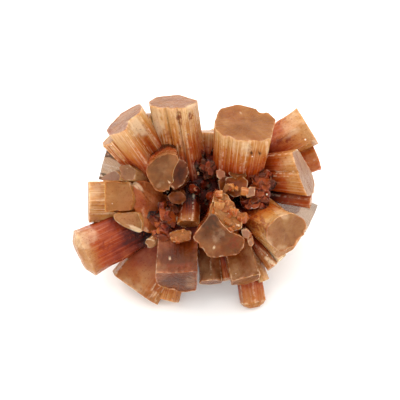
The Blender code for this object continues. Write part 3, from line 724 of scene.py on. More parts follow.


# %% [markdown]
# ## Growing a crystal
#
# Each crystal can be finished in its own way. The plain finish has a value for all that can
# differ, and a crystal's own finish replaces some of them.
#
# - grain: how far apart the columns are. coarse: six rows only, and corners that stay sharp.
# - ledge: how deep all the lengthwise marks are. groove, chip, lump, end: how deep the marks
#   of that one kind are.
# - tone: the colour is nearer the root's red below 0, and nearer cream above it.
# - smoke, dusk: how smoky the crystal is, and how smoky its free end is.
# - stripe, pink, tan: how striped the sides are, and how pink and how pale the end is.
# - edge: how bright the painted rim highlight is. soft: how far the end's colour runs down the sides.
# - span: the length over which colour changes, for a grain that is only the tip of a crystal.

# %% Plain finish
PLAIN_FINISH = {
    "grain": 0.25, "coarse": False, "ledge": 1.0, "groove": 1.0, "chip": 0.4, "lump": 0.0,
    "end": 1.0, "tone": 0.0, "smoke": 0.0, "dusk": 0.0, "stripe": 0.4, "pink": 0.0, "tan": 0.0,
    "edge": 0.5, "soft": 0.01, "span": 0.0}
print(len(PLAIN_FINISH), "things can differ from crystal to crystal")

# %% [markdown]
# The rows follow the prism from its root to its rim, closer together near the rim, where chips
# sit and ledges end. There is a narrow bevel, and then the rows go ring by ring in over the end.

# %% Rows
ROOT_HIDDEN = 0.3
ROW_SPACING = 0.9
RIM_SPACING = 0.35
RIM_BAND = 3.0
BEVEL = 0.16
END_SPACING = 0.75


def rows_of(length, radius, coarse):
    """Reach along the prism for the side rows, then inset from rim to middle for the end."""
    rim = 1 - BEVEL / length
    if coarse:
        reach = np.array((0, 0.5, rim, 1, 1, 1))
        return reach[:, None], np.array((0, 0, 0, BEVEL / radius, 0.35, 0.7))[:, None]
    band = max(rim - RIM_BAND / length, 0.5)
    lower = np.linspace(ROOT_HIDDEN, band, max(2, int((band - ROOT_HIDDEN) * length / ROW_SPACING)))
    upper = np.linspace(band, rim, max(2, int((rim - band) * length / RIM_SPACING)))
    inset = np.linspace(0.22, 0.92, max(3, int(radius / END_SPACING)))
    over = (1 - 0.3 * BEVEL / length, 1, 1, 1)
    reach = np.concatenate(((0.0,), lower, upper[1:], over, np.ones(len(inset))))
    bevel = np.array((0.3, 1.0)) * BEVEL / radius
    inset = np.concatenate((np.zeros(len(lower) + len(upper)), bevel, (0.07, 0.14), inset))
    return reach[:, None], inset[:, None]


print(len(rows_of(18.0, 5.0, False)[0]), "rows for a prism of 18 mm")

# %% [markdown]
# The bare prism is that grid before anything is taken off it. It keeps what the marks need:
# how far round and how far below the rim each point is, and which way is out.

# %% Bare prism
BLUNTING = 3
Bare = namedtuple("Bare", "points out lane below reach inset flat radius length")


def bare_prism(crystal, look):
    """Grid of points: root + reach (tip - root) + width (corner - tip), drawn in towards the
    middle of the end by inset."""
    ring, side, share = finer(crystal.corners, look["grain"])
    length = np.linalg.norm(crystal.tip - crystal.root)
    out = outward(crystal.corners, side, share, (crystal.tip - crystal.root) / length)
    if not look["coarse"]:
        ring, out = blunt(ring, BLUNTING), unit(blunt(out, BLUNTING))
    ring, out = np.vstack((ring, ring[:1])), np.vstack((out, out[:1]))
    lane = np.concatenate(((0,), np.cumsum(np.linalg.norm(np.diff(ring, axis=0), axis=1))))
    middle = ring[:-1].mean(axis=0)
    radius = np.linalg.norm(ring - middle, axis=1).mean()
    reach, inset = rows_of(length, radius, look["coarse"])
    width = crystal.taper + (1 - crystal.taper) * reach
    drawn = middle + (1 - inset)[..., None] * (ring - middle)
    points = (crystal.root + reach[..., None] * (crystal.tip - crystal.root)
              + width[..., None] * (drawn - crystal.tip))
    return Bare(points, out, lane, (1 - reach) * length, reach, inset, drawn - middle, radius, length)


# %% [markdown]
# The marks are taken off along the direction out of each side, and on the end along the way it
# faces. A broken crystal has lumps too, which are noise rounded to steps.

# %% Marks taken off
LUMP_WIDTH = 1.7


def side_marks(rng, bare, look):
    """How far each point is cut inwards: (ledges + grooves + waves + striae) + lumps + chips,
    less and less over the end. Also gives the ledge's shade and the chip's depth."""
    lane, below, girth = bare.lane, bare.below, bare.lane[-1]
    round_, down = lane + 0 * below, below + 0 * lane
    depth, shade = ledges(rng, lane, below, girth, LEDGE_STEP * look["ledge"])
    cut = grooves(rng, lane, below, girth, GROOVE_DEPTH * look["groove"])
    bite = chips(rng, lane, below, girth, look["chip"])
    wave = WAVE_STEP * (1 + soft_noise(rng, round_ / WAVE_WIDTH, down / WAVE_LENGTH)) / 2
    striae = STRIA_STEP * (1 + soft_noise(rng, round_ / STRIA_WIDTH, down / STRIA_LENGTH)) / 2
    rough = soft_noise(rng, round_ / LUMP_WIDTH, down / (1.3 * LUMP_WIDTH))
    lumps = look["lump"] * stepped(1.5 + 1.5 * rough) / 3
    lumps = lumps * (0.2 + 0.8 * smooth(below / LUMP_WIDTH))
    inward = (depth + cut + wave + striae) * look["ledge"] + lumps + bite
    return inward * (1 - smooth(bare.inset / 0.9)), shade, bite


def end_marks(rng, crystal, bare, look, x, y, bite):
    """How far the end is sunk: its relief and the chips near its rim, less the crown's rise."""
    relief = end_relief(rng, x, y, bare.inset, look["end"])
    relief = np.where(bare.reach == 1, relief + 0.6 * bite * (1 - smooth(bare.inset / 0.3)), 0)
    if crystal.crown:
        rise, left = crystal.crown
        relief = relief - rise * np.clip(bare.inset / (1 - left), 0, 1)
    return relief


# %% [markdown]
# Rims and sharp corners, where the stone is thin, are painted lighter: a painted glow and a
# painted highlight line. The end shows the six sectors of the twins in slightly different shades.

# %% Corners and sectors
CORNER_TURN = 0.35


def away_from_corners(corners, lane, girth):
    """How far round each column is from the nearest corner where the outline turns sharply."""
    ahead = np.roll(corners, -1, axis=0) - corners
    sizes, ahead = np.linalg.norm(ahead, axis=1), unit(ahead)
    turning = 1 - (ahead * np.roll(ahead, 1, axis=0)).sum(axis=1) > CORNER_TURN
    places = np.concatenate(((0,), np.cumsum(sizes)[:-1]))[turning]
    away = np.abs(lane[:, None] - places)
    return np.minimum(away, girth - away).min(axis=1, initial=girth)


def shade_of_sectors(rng, x, y):
    """Six sectors round the middle of the end, each with a shade from -1 to 1: the twins of
    the trilling, with borders that waver by noise."""
    waver = 0.35 * soft_noise(rng, x / 1.5 + 20, y / 1.5 + 20)
    turn = (np.arctan2(y, x) / (2 * np.pi) + 0.5 + waver / 2) * 6 + rng.uniform(0, 6)
    shade = rng.uniform(-1, 1, 6)
    here = np.floor(turn).astype(int)
    blend = smooth((turn - here) * 3)
    return shade[here % 6] * blend + shade[(here - 1) % 6] * (1 - blend)


# %% [markdown]
# What the material has to know at each point is kept in layers of three numbers: growth (age,
# share of the end's tan, shade of the ledge), grain (how far round, how far below, which
# crystal), style (smoke, stripe, pink) and rims (painted glow and highlight at a thin edge,
# painted glow at a wide edge, tan).

# %% Skin
THIN_RIM = 0.16
WIDE_RIM = 1.1
DEEP_LOSS = 1.8
SEED = 3010
Skin = namedtuple("Skin", "points growth grain style rims normal")


def layers_of(rng, crystal, number, bare, look, shade, x, y):
    """The four layers and the way each point faces. Age is 1 at the rim and falls with depth;
    the painted rim glow fades as exp(-(distance / width)^2) when thin and exp(-distance / width)
    when wide."""
    lane, below = bare.lane, bare.below
    round_, down = lane + 0 * below, below + 0 * lane
    end = np.where(below < BEVEL / 2, 1.0, 0.0) + 0 * lane
    spread = np.maximum(end, 1 - smooth(below / look["soft"]))
    tanned = spread * np.clip(1 + DEEP_LOSS * look["tone"], 0, 1)
    age = 1 - below / max(bare.length, look["span"])
    growth = np.stack((age + look["tone"] + 0 * lane, tanned, shade * look["stripe"]), axis=-1)
    grain = np.stack((round_, down, number + 0 * round_), axis=-1)
    style = np.array((look["smoke"], look["stripe"], look["pink"])) + np.zeros(bare.points.shape)
    style[..., 0] = np.maximum(style[..., 0] * smooth(2.2 * bare.reach - 0.7), look["dusk"] * spread)
    style[..., 1] *= 1 - end
    normal = np.where(end[..., None] == 1, crystal.facing, bare.out[None])
    rim = np.where(end == 1, bare.inset * bare.radius, below)
    corner = away_from_corners(crystal.corners, lane, lane[-1]) + 9 * end
    thin = np.maximum(np.exp(-(rim / THIN_RIM) ** 2), np.exp(-(corner / THIN_RIM) ** 2))
    wide = np.maximum(np.exp(-rim / WIDE_RIM), 0.7 * np.exp(-corner / WIDE_RIM))
    tan = (0.06 * shade_of_sectors(rng, x, y) + look["tan"]) * end
    rims = np.stack((thin * look["edge"], wide, tan), axis=-1)
    return growth, grain, style, rims, normal


def skin(crystal, number):
    """The bare prism less its marks: points - inward out - relief facing, with its layers."""
    rng = np.random.default_rng(SEED + number)
    look = {**PLAIN_FINISH, **crystal.finish}
    bare = bare_prism(crystal, look)
    inward, shade, bite = side_marks(rng, bare, look)
    across = unit(np.cross(crystal.facing, (0.3, 0.1, 1.0)))
    x, y = bare.flat @ across, bare.flat @ np.cross(crystal.facing, across)
    relief = end_marks(rng, crystal, bare, look, x, y, bite)
    points = bare.points - inward[..., None] * bare.out - relief[..., None] * crystal.facing
    return Skin(points, *layers_of(rng, crystal, number, bare, look, shade, x, y))


print("the top prism has a grid of", skin(TOP["top_middle"], 1).points.shape[:2])

# %% [markdown]
# ## From grid to closed mesh
#
# The grid closes round the prism, and a single point closes it at the root and at the middle
# of the end. What the material needs to know is kept on the corners of the faces, because
# the Boolean union that comes later carries corner values across exactly.

# %% Mesh
def close(grid):
    """Vertex and face arrays of a grid whose last column repeats its first, with a pole at
    each end. Also gives, for every face corner, its row and column in the grid."""
    rows, columns = grid.shape[0], grid.shape[1] - 1
    index = 1 + np.arange(rows)[:, None] * columns + np.arange(columns + 1) % columns
    r, c = np.meshgrid(np.arange(rows - 1), np.arange(columns), indexing="ij")
    quad_r = np.stack((r, r, r + 1, r + 1), -1).reshape(-1, 4)
    quad_c = np.stack((c, c + 1, c + 1, c), -1).reshape(-1, 4)
    c = np.arange(columns)
    fan = np.stack((c, c, c + 1), -1)
    root_r, end_r = np.zeros_like(fan), np.full_like(fan, rows - 1)
    quads = index[quad_r, quad_c]
    root = np.stack((np.zeros_like(c), index[0, c + 1], index[0, c]), -1)
    end = np.stack((np.full_like(c, 1 + rows * columns), index[-1, c], index[-1, c + 1]), -1)
    root_c, end_c = fan[:, [0, 2, 1]], fan
    verts = np.vstack((grid[0, :-1].mean(0), grid[:, :-1].reshape(-1, 3), grid[-1, :-1].mean(0)))
    faces = quads.tolist() + root.tolist() + end.tolist()
    corner_r = np.concatenate((quad_r.ravel(), root_r.ravel(), end_r.ravel()))
    corner_c = np.concatenate((quad_c.ravel(), root_c.ravel(), end_c.ravel()))
    return verts, faces, corner_r, corner_c


def volume(verts, faces):
    """Six times the signed volume: the sum over faces of a . (b x c)."""
    three = np.array([face[:3] for face in faces])
    four = np.array([(face[0], face[2], face[3]) for face in faces if len(face) == 4])
    a, b, c = (verts[np.concatenate((three, four))[:, k]] for k in range(3))
    return (a * np.cross(b, c)).sum()


def solid(name, skin_made, marks, home):
    """A closed mesh object with its face corners' growth, grain and marks."""
    verts, faces, rows, columns = close(skin_made.points)
    layers = {"growth": skin_made.growth, "grain": skin_made.grain, "style": skin_made.style,
              "rims": skin_made.rims, "marks": marks}
    values = {key: layer[rows, columns] for key, layer in layers.items()}
    mesh = bpy.data.meshes.new(name)
    mesh.from_pydata(stand(verts), [], faces)
    for key, value in values.items():
        layer = mesh.attributes.new(key, "FLOAT_VECTOR", "CORNER")
        layer.data.foreach_set("vector", value.astype(np.float32).ravel())
    if volume(verts, faces) < 0:
        mesh.flip_normals()
    thing = bpy.data.objects.new(name, mesh)
    home.objects.link(thing)
    return thing


# %% [markdown]
# ## Stains, pale clouds, pits, and painted light and shade
#
# Some marks belong to one place on one crystal: red pits in the front of the top prism, a
# white cloud in the side of another. Many are painted light and shade instead: small pale spots
# are painted glints, some larger pale ones paint light on a lit face or edge, and some dark and
# red marks paint shade in a slit, on a shaded face or on one side of a rounded end. Each is
# written as where it is seen, how wide and how high it is, and how strongly it stains, pales,
# darkens or sinks the surface.

# %% Marks in one place
Spot = namedtuple("Spot", "right up wide high turn stain pale dark sink")


def spot(right, up, wide, high, turn=0, stain=0.0, pale=0.0, dark=0.0, sink=0.0):
    """A mark that is seen at right and up, in millimetres, turned by degrees."""
    return Spot(right, up, wide, high, radians(turn), stain, pale, dark, sink)


def mark(skin_made, spots):
    """Adds each spot with weight 1 + noise - distance squared in its own ellipse, on what faces
    the eye only. Distances are as the eye sees them, so near things count as larger."""
    points, normal = skin_made.points, skin_made.normal
    rng = np.random.default_rng(SEED)
    nearer = EYE_DISTANCE / (EYE_DISTANCE - points[..., 2])
    seen_right, seen_up = points[..., 0] * nearer, points[..., 1] * nearer
    marks, sunk = np.zeros(points.shape), np.zeros(points.shape[:2])
    ragged = 0.45 * soft_noise(rng, seen_right / 0.7, seen_up / 0.7)
    for s in spots:
        dx, dy = seen_right - s.right, seen_up - s.up
        along, beside = dx * cos(s.turn) + dy * sin(s.turn), dy * cos(s.turn) - dx * sin(s.turn)
        weight = smooth(1.5 * (1 + ragged - (along / s.wide) ** 2 - (beside / s.high) ** 2))
        weight = weight * (normal[..., 2] > 0)
        marks = np.maximum(marks, weight[..., None] * np.array((s.stain, s.pale, s.dark)))
        sunk = np.maximum(sunk, weight * s.sink)
    return skin_made._replace(points=points - sunk[..., None] * normal), marks


SPOTS = {
    # Pale spot: painted light on the lit side of the prism. Red spot: staining.
    "top_left": [
        spot(-18.6, 11.9, 0.8, 0.7, 40, stain=0.7), spot(-13.2, 12.8, 1.6, 3.0, 30, pale=0.8)],
    # Large pale spot: painted light on the lit left side. Pale spot by the rim: painted highlight. Thin
    # dark spot: painted shade in the slit below. The rest: red pits and stains.
    "top_middle": [
        spot(-4.7, 14.8, 0.75, 1.5, 8, stain=0.8, sink=0.08),
        spot(-2.5, 15.0, 0.6, 1.1, 0, stain=0.8, sink=0.08),
        spot(-6.9, 11.2, 0.9, 1.4, 25, stain=0.7), spot(-2.0, 12.4, 0.5, 0.5, 0, stain=0.6),
        spot(-4.6, 11.9, 0.4, 0.6, 0, stain=0.6), spot(-9.2, 13.6, 1.6, 4.0, 8, pale=0.65),
        spot(-2.6, 17.2, 1.4, 0.7, 12, pale=0.5), spot(-4.6, 9.0, 0.2, 0.7, 8, dark=0.8)],
    "top_right": [
        spot(8.6, 8.9, 1.4, 1.2, 0, pale=0.45), spot(12.9, 8.4, 0.5, 2.6, 4, pale=0.5),
        spot(6.2, 8.6, 0.4, 2.4, 0, pale=0.3), spot(9.7, 7.9, 0.3, 0.22, 0, dark=1),
        spot(11.2, 7.9, 0.36, 0.22, -35, dark=1), spot(10.4, 5.0, 2.6, 1.2, 0, stain=0.5),
        spot(7.5, 15.8, 0.25, 0.2, 0, pale=0.5)],
    "right_upper": [
        spot(17.8, 13.2, 3.2, 2.6, 35, pale=0.45), spot(15.9, 14.2, 1.7, 0.4, 32, stain=0.7),
        spot(16.2, 10.2, 2.4, 0.9, 15, stain=0.8), spot(19.6, 10.8, 2.0, 1.4, -40, stain=0.15)],
    "right_side": [
        spot(16.2, 6.0, 2.4, 1.2, 12, pale=0.3), spot(15.9, 2.1, 2.3, 0.25, 20, pale=0.4)],
    # The two smallest pale spots: painted glints on the top edge.
    "lower_right": [
        spot(11.2, -6.4, 3.0, 1.7, -35, stain=0.65), spot(9.2, -4.0, 1.9, 2.0, -30, stain=0.7),
        spot(15.6, -4.2, 2.0, 1.0, -35, pale=0.45), spot(15.4, -11.2, 2.0, 0.6, 12, pale=0.3),
        spot(12.8, -9.6, 1.8, 0.9, -38, pale=0.35), spot(11.0, -1.6, 2.6, 1.0, -20, pale=0.25),
        spot(16.6, -3.1, 0.25, 0.2, 0, pale=1), spot(17.4, -3.6, 0.25, 0.2, 0, pale=1)],
    # Dark spots and the pale middle: painted shade and light inside the brown end. The two small pale
    # spots: painted highlights.
    "centre": [
        spot(1.4, -6.2, 2.2, 2.2, 12, dark=0.7), spot(0.2, -8.6, 1.4, 1.6, 12, dark=0.45),
        spot(3.0, -8.8, 1.7, 1.7, 0, pale=0.3), spot(6.4, -10.2, 1.6, 1.7, -30, stain=0.6),
        spot(4.6, -4.4, 1.4, 2.4, 20, stain=0.4), spot(2.0, -11.2, 0.5, 0.18, 5, pale=0.9),
        spot(-2.2, -9.3, 0.3, 0.4, 0, pale=1)],
    # The smallest pale spots: painted glints, and the thin one a painted highlight on a ridge.
    "centre_shoulder": [
        spot(7.1, -6.7, 0.5, 0.25, -30, pale=1), spot(4.4, -4.0, 1.6, 1.2, -20, pale=0.2),
        spot(5.8, -1.4, 0.9, 1.4, 0, dark=0.35), spot(7.2, -4.4, 0.8, 0.9, 0, dark=0.2),
        spot(3.4, -1.0, 0.9, 1.2, 0, stain=0.25), spot(6.0, -5.8, 1.6, 0.7, -40, stain=0.35),
        spot(2.0, -1.9, 0.22, 0.2, 0, pale=1), spot(5.0, -4.8, 0.25, 0.2, 0, pale=1)],
    # Two smallest pale spots: painted glints. Spot at the top: painted shade on the shaded top side, with
    # some staining.
    "left_centre": [
        spot(-8.4, 5.0, 2.0, 1.8, 0, pale=0.12), spot(-8.6, 1.4, 1.2, 0.7, 20, pale=0.3),
        spot(-8.0, 1.4, 0.25, 0.25, 0, pale=1), spot(-6.7, 1.9, 0.25, 0.25, 0, pale=1),
        spot(-7.4, 8.6, 2.0, 0.8, 0, stain=0.2, dark=0.3)],
    "half_hidden": [spot(-4.2, 3.8, 1.0, 2.0, 0, dark=0.5)],
    # Tall thin pale spot: painted light on the lit left edge. Smallest pale spots: painted glints. Dark
    # spot low on the end: painted shade on the end that faces down.
    "bottom_centre": [
        spot(-4.6, -13.0, 4.0, 2.0, 0, dark=0.4), spot(-7.4, -18.0, 2.0, 1.6, 0, dark=0.35),
        spot(-4.8, -14.6, 3.6, 0.8, 4, stain=0.4), spot(-9.6, -13.4, 0.4, 2.8, 0, pale=0.8),
        spot(-2.6, -18.2, 1.6, 1.6, 0, pale=0.25), spot(-6.6, -13.4, 0.22, 0.22, 0, pale=1),
        spot(-3.4, -12.2, 0.22, 0.22, 0, pale=1), spot(-2.8, -14.6, 0.3, 0.2, 30, pale=0.9),
        spot(-1.8, -12.6, 0.2, 0.2, 0, pale=1)],
    "left_side": [
        spot(-21.4, -1.9, 1.3, 0.12, 0, dark=0.8), spot(-21.8, -2.7, 1.2, 0.1, 0, dark=0.5),
        spot(-22.2, -3.5, 0.8, 0.12, 0, dark=0.7), spot(-21.6, 0.4, 1.6, 2.0, 0, pale=0.3)],
    "left_front": [
        spot(-13.2, 1.4, 2.0, 1.0, -15, pale=0.5), spot(-17.6, -3.9, 0.9, 0.16, 15, dark=0.9),
        spot(-15.6, -4.0, 1.6, 0.14, 5, dark=0.7), spot(-13.4, -2.4, 1.6, 1.8, 0, stain=0.35),
        spot(-12.8, -0.4, 0.5, 0.7, 0, stain=0.5)],
    # The long red mark at the right: painted shade that makes the end look rounded.
    "left_body": [
        spot(-13.2, 1.2, 2.2, 0.7, -40, pale=0.7), spot(-12.4, -1.0, 0.4, 1.2, 30, stain=0.7),
        spot(-12.0, -4.2, 0.5, 1.6, 5, pale=0.4), spot(-11.6, -7.6, 1.2, 0.5, -20, pale=0.6),
        spot(-7.6, -3.2, 1.2, 4.2, -8, stain=0.8)],
    "left_low": [
        spot(-15.4, -5.6, 1.2, 0.7, -30, stain=0.5), spot(-13.2, -5.2, 0.6, 1.0, 20, stain=0.6),
        spot(-13.4, -7.4, 2.4, 0.5, -24, pale=0.7), spot(-16.6, -5.4, 0.8, 0.5, -40, pale=0.4)],
    "low_left": [
        spot(-23.8, -9.4, 3.4, 2.4, 25, pale=0.5), spot(-19.6, -10.8, 1.5, 1.3, 20, stain=0.6),
        spot(-18.4, -14.6, 3.6, 0.16, 25, dark=0.5), spot(-18.0, -15.2, 3.6, 0.12, 25, dark=0.4),
        spot(-16.6, -9.8, 3.4, 1.6, 20, stain=0.3)],
    "bottom_left": [
        spot(-13.4, -18.8, 3.4, 1.2, -30, pale=0.3), spot(-14.6, -14.4, 1.8, 1.2, 30, stain=0.3),
        spot(-8.4, -20.6, 0.12, 1.4, 5, dark=0.9), spot(-7.9, -20.6, 0.1, 1.3, 5, dark=0.7)],
    # Thin pale line: a painted highlight on an edge.
    "bottom_right": [spot(11.3, -15.8, 0.25, 2.0, 0, pale=0.8)],
    # Pale spots: painted reflection on a glinting face.
    "thin": [
        spot(13.6, -14.0, 1.7, 0.5, -42, pale=1), spot(14.2, -13.2, 1.2, 0.3, -42, pale=1),
        spot(12.0, -11.8, 2.6, 0.25, -42, pale=0.6)],
    # Pale spot: painted reflection on the glinting face above.
    "thin_pale": [spot(14.6, -12.8, 2.4, 1.2, -50, pale=1)],
}

# %% [markdown]
# ## Growing them all
#
# Every crystal is grown on its own and then joined. A Boolean union with the MANIFOLD solver
# is quick on closed meshes, and leaves one clean skin with nothing inside.

# %% Boolean steps
def grown(crystals, first, home):
    """Grows the named crystals into a collection."""
    for number, (name, crystal) in enumerate(crystals.items(), start=first):
        made, marks = mark(skin(crystal, number), SPOTS.get(name, ()))
        solid(name, made, marks, home)


def collection(name):
    """A new collection in the scene."""
    made = bpy.data.collections.new(name)
    bpy.context.scene.collection.children.link(made)
    return made


def boolean(thing, operation, home=None, tool=None):
    """One Boolean step on an object, with a whole collection or a single tool."""
    step = thing.modifiers.new(operation.lower(), "BOOLEAN")
    step.operation = operation
    step.solver = "MANIFOLD"
    if home:
        step.operand_type = "COLLECTION"
        step.collection = home
    else:
        step.object = tool


def finish_mesh(name, source):
    """A new object from what the modifiers make of the source, and the source's removal."""
    graph = bpy.context.evaluated_depsgraph_get()
    mesh = bpy.data.meshes.new_from_object(source.evaluated_get(graph))
    made = bpy.data.objects.new(name, mesh)
    bpy.context.scene.collection.objects.link(made)
    bpy.data.objects.remove(source, do_unlink=True)
    return made


def clear_away(home):
    """Removes a collection and what is in it."""
    for thing in list(home.objects):
        bpy.data.objects.remove(thing, do_unlink=True)
    bpy.data.collections.remove(home)


# %% [markdown]
# The roots meet in a lump in the middle, and the cluster has worn flat where it rests. So the
# union starts from a lumpy ball, and what lies below the table is cut away.

# %% Core and ground
CORE_ROWS = 60
CORE_COLUMNS = 121
# A low age paints the lump near black-red, part staining and part painted shade deep in the hollow.
CORE_AGE = 0.3
GROUND_WIDTH = 0.2
GROUND_DEPTH = 0.05


def core_skin(radius):
    """A lumpy ball: rows of latitude and columns of longitude, the radius varied by noise."""
    rng = np.random.default_rng(SEED)
    tall, round_ = np.meshgrid(
        np.linspace(-1.5, 1.5, CORE_ROWS), np.linspace(0, 2 * np.pi, CORE_COLUMNS), indexing="ij")
    way = np.stack((np.cos(tall) * np.cos(round_), np.cos(tall) * np.sin(round_), np.sin(tall)), -1)
    lumps = 1 - 0.04 * (1 + soft_noise(rng, 3 * way[..., 0] + 9, 3 * way[..., 1] + 3 * way[..., 2]))
    points = CORE_PLACE + way * CORE_SHARE * (radius * lumps)[..., None]
    growth = np.stack((CORE_AGE + 0 * tall, 0 * tall, 0 * tall), -1)
    grain = np.stack((round_ * 6, tall * 6, 0 * tall), -1)
    return Skin(points, growth, grain, np.zeros(points.shape), np.zeros(points.shape), way)


def ground_block():
    """What lies below the surface on which the cluster has worn flat."""
    across = (-GROUND_WIDTH, GROUND_WIDTH)
    corners = [(x, y, z) for x in across for y in across for z in (-GROUND_DEPTH, 0)]
    faces = [(0, 1, 3, 2), (4, 6, 7, 5), (0, 4, 5, 1), (2, 3, 7, 6), (0, 2, 6, 4), (1, 5, 7, 3)]
    mesh = bpy.data.meshes.new("ground_block")
    mesh.from_pydata(corners, [], faces)
    thing = bpy.data.objects.new("ground_block", mesh)
    bpy.context.scene.collection.objects.link(thing)
    return thing


ground = ground_block()
print("ground block reaches", GROUND_DEPTH / MM, "mm down")

# %% [markdown]
# Everything is grown now, but for the two see-through crystals. They get a material of their
# own later, and so they stay a piece of their own.

# %% Cloudy crystals
SHARP = radians(28)
CLEAR = ("left_upper", "right_behind")


def join(name, base, home):
    """Union of a base solid and a collection, worn flat below, as one finished object."""
    boolean(base, "UNION", home=home)
    boolean(base, "DIFFERENCE", tool=ground)
    made = finish_mesh(name, base)
    made.data.set_sharp_from_angle(angle=SHARP)
    clear_away(home)
    triangles = sum(len(face.vertices) - 2 for face in made.data.polygons)
    print(f"{name}: {triangles} triangles")
    return made


everything = {
    **TOP, **RIGHT_SIDE, **FRONT, **LEFT_SIDE, **BOTTOM, **FILLING, **FAR_SIDE, **DRUSE, **GRAINS}
cloudy_home, core_home = collection("cloudy_growth"), collection("core_home")
grown({name: it for name, it in everything.items() if name not in CLEAR}, 1, cloudy_home)
core = core_skin(CORE_RADIUS)
lump = solid("core", core, np.zeros(core.points.shape), core_home)
cloudy = join("cloudy_crystals", lump, cloudy_home)

# %% [markdown]
# ## Materials
#
# Aragonite is calcium carbonate, here stained by iron. It is cloudy and lets light in deep.
# The ramp by age paints the roots orange and then dark red, part iron staining and part painted
# shade deep between the crystals, and the thin outer ends cream, part painted glow.
# Subsurface scattering adds the softness.

# %% Node helper
def linear(hex_colour):
    """sRGB hex to linear light: c/12.92 below 0.04045, else ((c + 0.055) / 1.055) ^ 2.4."""
    parts = np.array([int(hex_colour[k:k + 2], 16) / 255 for k in (1, 3, 5)])
    low, high = parts / 12.92, ((parts + 0.055) / 1.055) ** 2.4
    return (*np.where(parts <= 0.04045, low, high), 1.0)


def node(tree, kind, settings=None, sockets=None, out=0):
    """Adds a node, sets its properties and a ramp's stops, gives each named or numbered input
    a plain value or a link from another node's output, and hands back one of its outputs."""
    made = tree.nodes.new(kind)
    for key, value in (settings or {}).items():
        if key == "stops":
            band = made.color_ramp.elements
            while len(band) < len(value):
                band.new(0.5)
            for element, (place, colour) in zip(band, value):
                element.position, element.color = place, linear(colour)
        else:
            setattr(made, key, value)
    for key, value in (sockets or {}).items():
        if isinstance(value, bpy.types.NodeSocket):
            tree.links.new(value, made.inputs[key])
        else:
            made.inputs[key].default_value = value
    return made.outputs[out]


# %% [markdown]
# How the colour comes about, from the inside out: a ramp by reach along the prism, part staining,
# part painted shade and part painted glow, shifted by stripes and clouds; the end face's own tan,
# with the twins' sectors; painted glow and highlights at rims, where the stone is thin; then
# smoke, clouds, stains and dark spots, some of them painted light and shade, whose borders noise
# makes ragged.

# %% Colours and kinds of node
# From root to free end: part iron staining, part painted shade deep down, part painted glow at the free
# end.
STAIN_SHADE_AND_GLOW_BY_AGE = [
    (0.14, "#1c0401"), (0.27, "#4c0d01"), (0.37, "#802603"), (0.48, "#983e08"),
    (0.62, "#a86226"), (0.76, "#b48046"), (0.92, "#c49a68")]
END_COLOURS = [(0.0, "#643410"), (0.3, "#845022"), (0.6, "#a07440"), (0.9, "#b89866")]
SMOKE_COLOURS = [(0.3, "#2c0e01"), (0.5, "#501f02"), (0.75, "#783808")]
# A painted glow for the ends' rims, the pink of some ends, a sheen colour for painted highlights, and a
# painted glint.
RIM_GLOW, PINK_END, SHEEN, GLINT = "#a86c34", "#74584e", "#f4dcb8", "#fff2e2"
# Milky and rusty patches are the stone's own; the colours for stains, pale clouds and dark pits also
# paint shade, highlights and glints.
MILK, RUST, STAIN_AND_SHADE, CLOUD_AND_HIGHLIGHT, DARK = "#b0845c", "#84360c", "#742408", "#dcc09c", "#241006"
MATH, VECTOR, MIX = "ShaderNodeMath", "ShaderNodeVectorMath", "ShaderNodeMix"
NOISE, CELLS, PLACING = "ShaderNodeTexNoise", "ShaderNodeTexVoronoi", "ShaderNodeMapping"
SPLIT, RANGE, RAMP = "ShaderNodeSeparateXYZ", "ShaderNodeMapRange", "ShaderNodeValToRGB"
ADD, TIMES, TIMES_ADD, LESS, SCALED, DOT, MORE_THAN = (
    {"operation": name} for name in (
        "ADD", "MULTIPLY", "MULTIPLY_ADD", "SUBTRACT", "SCALE", "DOT_PRODUCT", "GREATER_THAN"))
COLOURS = {"data_type": "RGBA"}
print(len(STAIN_SHADE_AND_GLOW_BY_AGE), "colours from root to rim")

# %% [markdown]
# First the material reads the layers of the mesh and makes the noises that several colours
# share. The scale of clouds and specks is roughly how many of them there are in a metre.

# %% What the material reads
CLOUD_SCALE = 300.0
SPECK_SCALE = 1300.0


def layers_read(tree):
    """The layers' numbers, each as a socket under its own name, with the shared noises."""
    read = {name: node(tree, "ShaderNodeAttribute", {"attribute_name": name}, out="Vector")
            for name in ("growth", "grain", "style", "rims", "marks")}
    growth, style, rims, marks = (
        node(tree, SPLIT, None, {0: read[name]}).node.outputs
        for name in ("growth", "style", "rims", "marks"))
    place = node(tree, "ShaderNodeTexCoord", out="Object")
    lanes = node(tree, PLACING, None, {0: read["grain"], 3: (2.6, 0.05, 3.7)})
    clouds = node(tree, NOISE, None, {"Vector": place, "Scale": CLOUD_SCALE, "Detail": 5.0})
    specks = node(tree, NOISE, None, {"Vector": place, "Scale": SPECK_SCALE, "Detail": 4.0})
    mottle = node(tree, MATH, TIMES, {0: clouds, 1: 0.65})
    return SimpleNamespace(
        place=place, grain=read["grain"], marks=marks, reach=growth[0], end=growth[1],
        streak=growth[2], smoke=style[0], stripe=style[1], pink=style[2], thin=rims[0],
        wide=rims[1], tan=rims[2], clouds=clouds, specks=specks,
        stripes=node(tree, NOISE, None, {"Vector": lanes, "Scale": 1.0, "Detail": 5.0}),
        mottle=node(tree, MATH, TIMES_ADD, {0: specks, 1: 0.35, 2: mottle}))


# %% [markdown]
# The sides take their colour from a ramp by age, and fine pale lines run along them, part pale
# striae and part painted highlight. The end is tan, and a painted glow makes it warmer towards its rim.

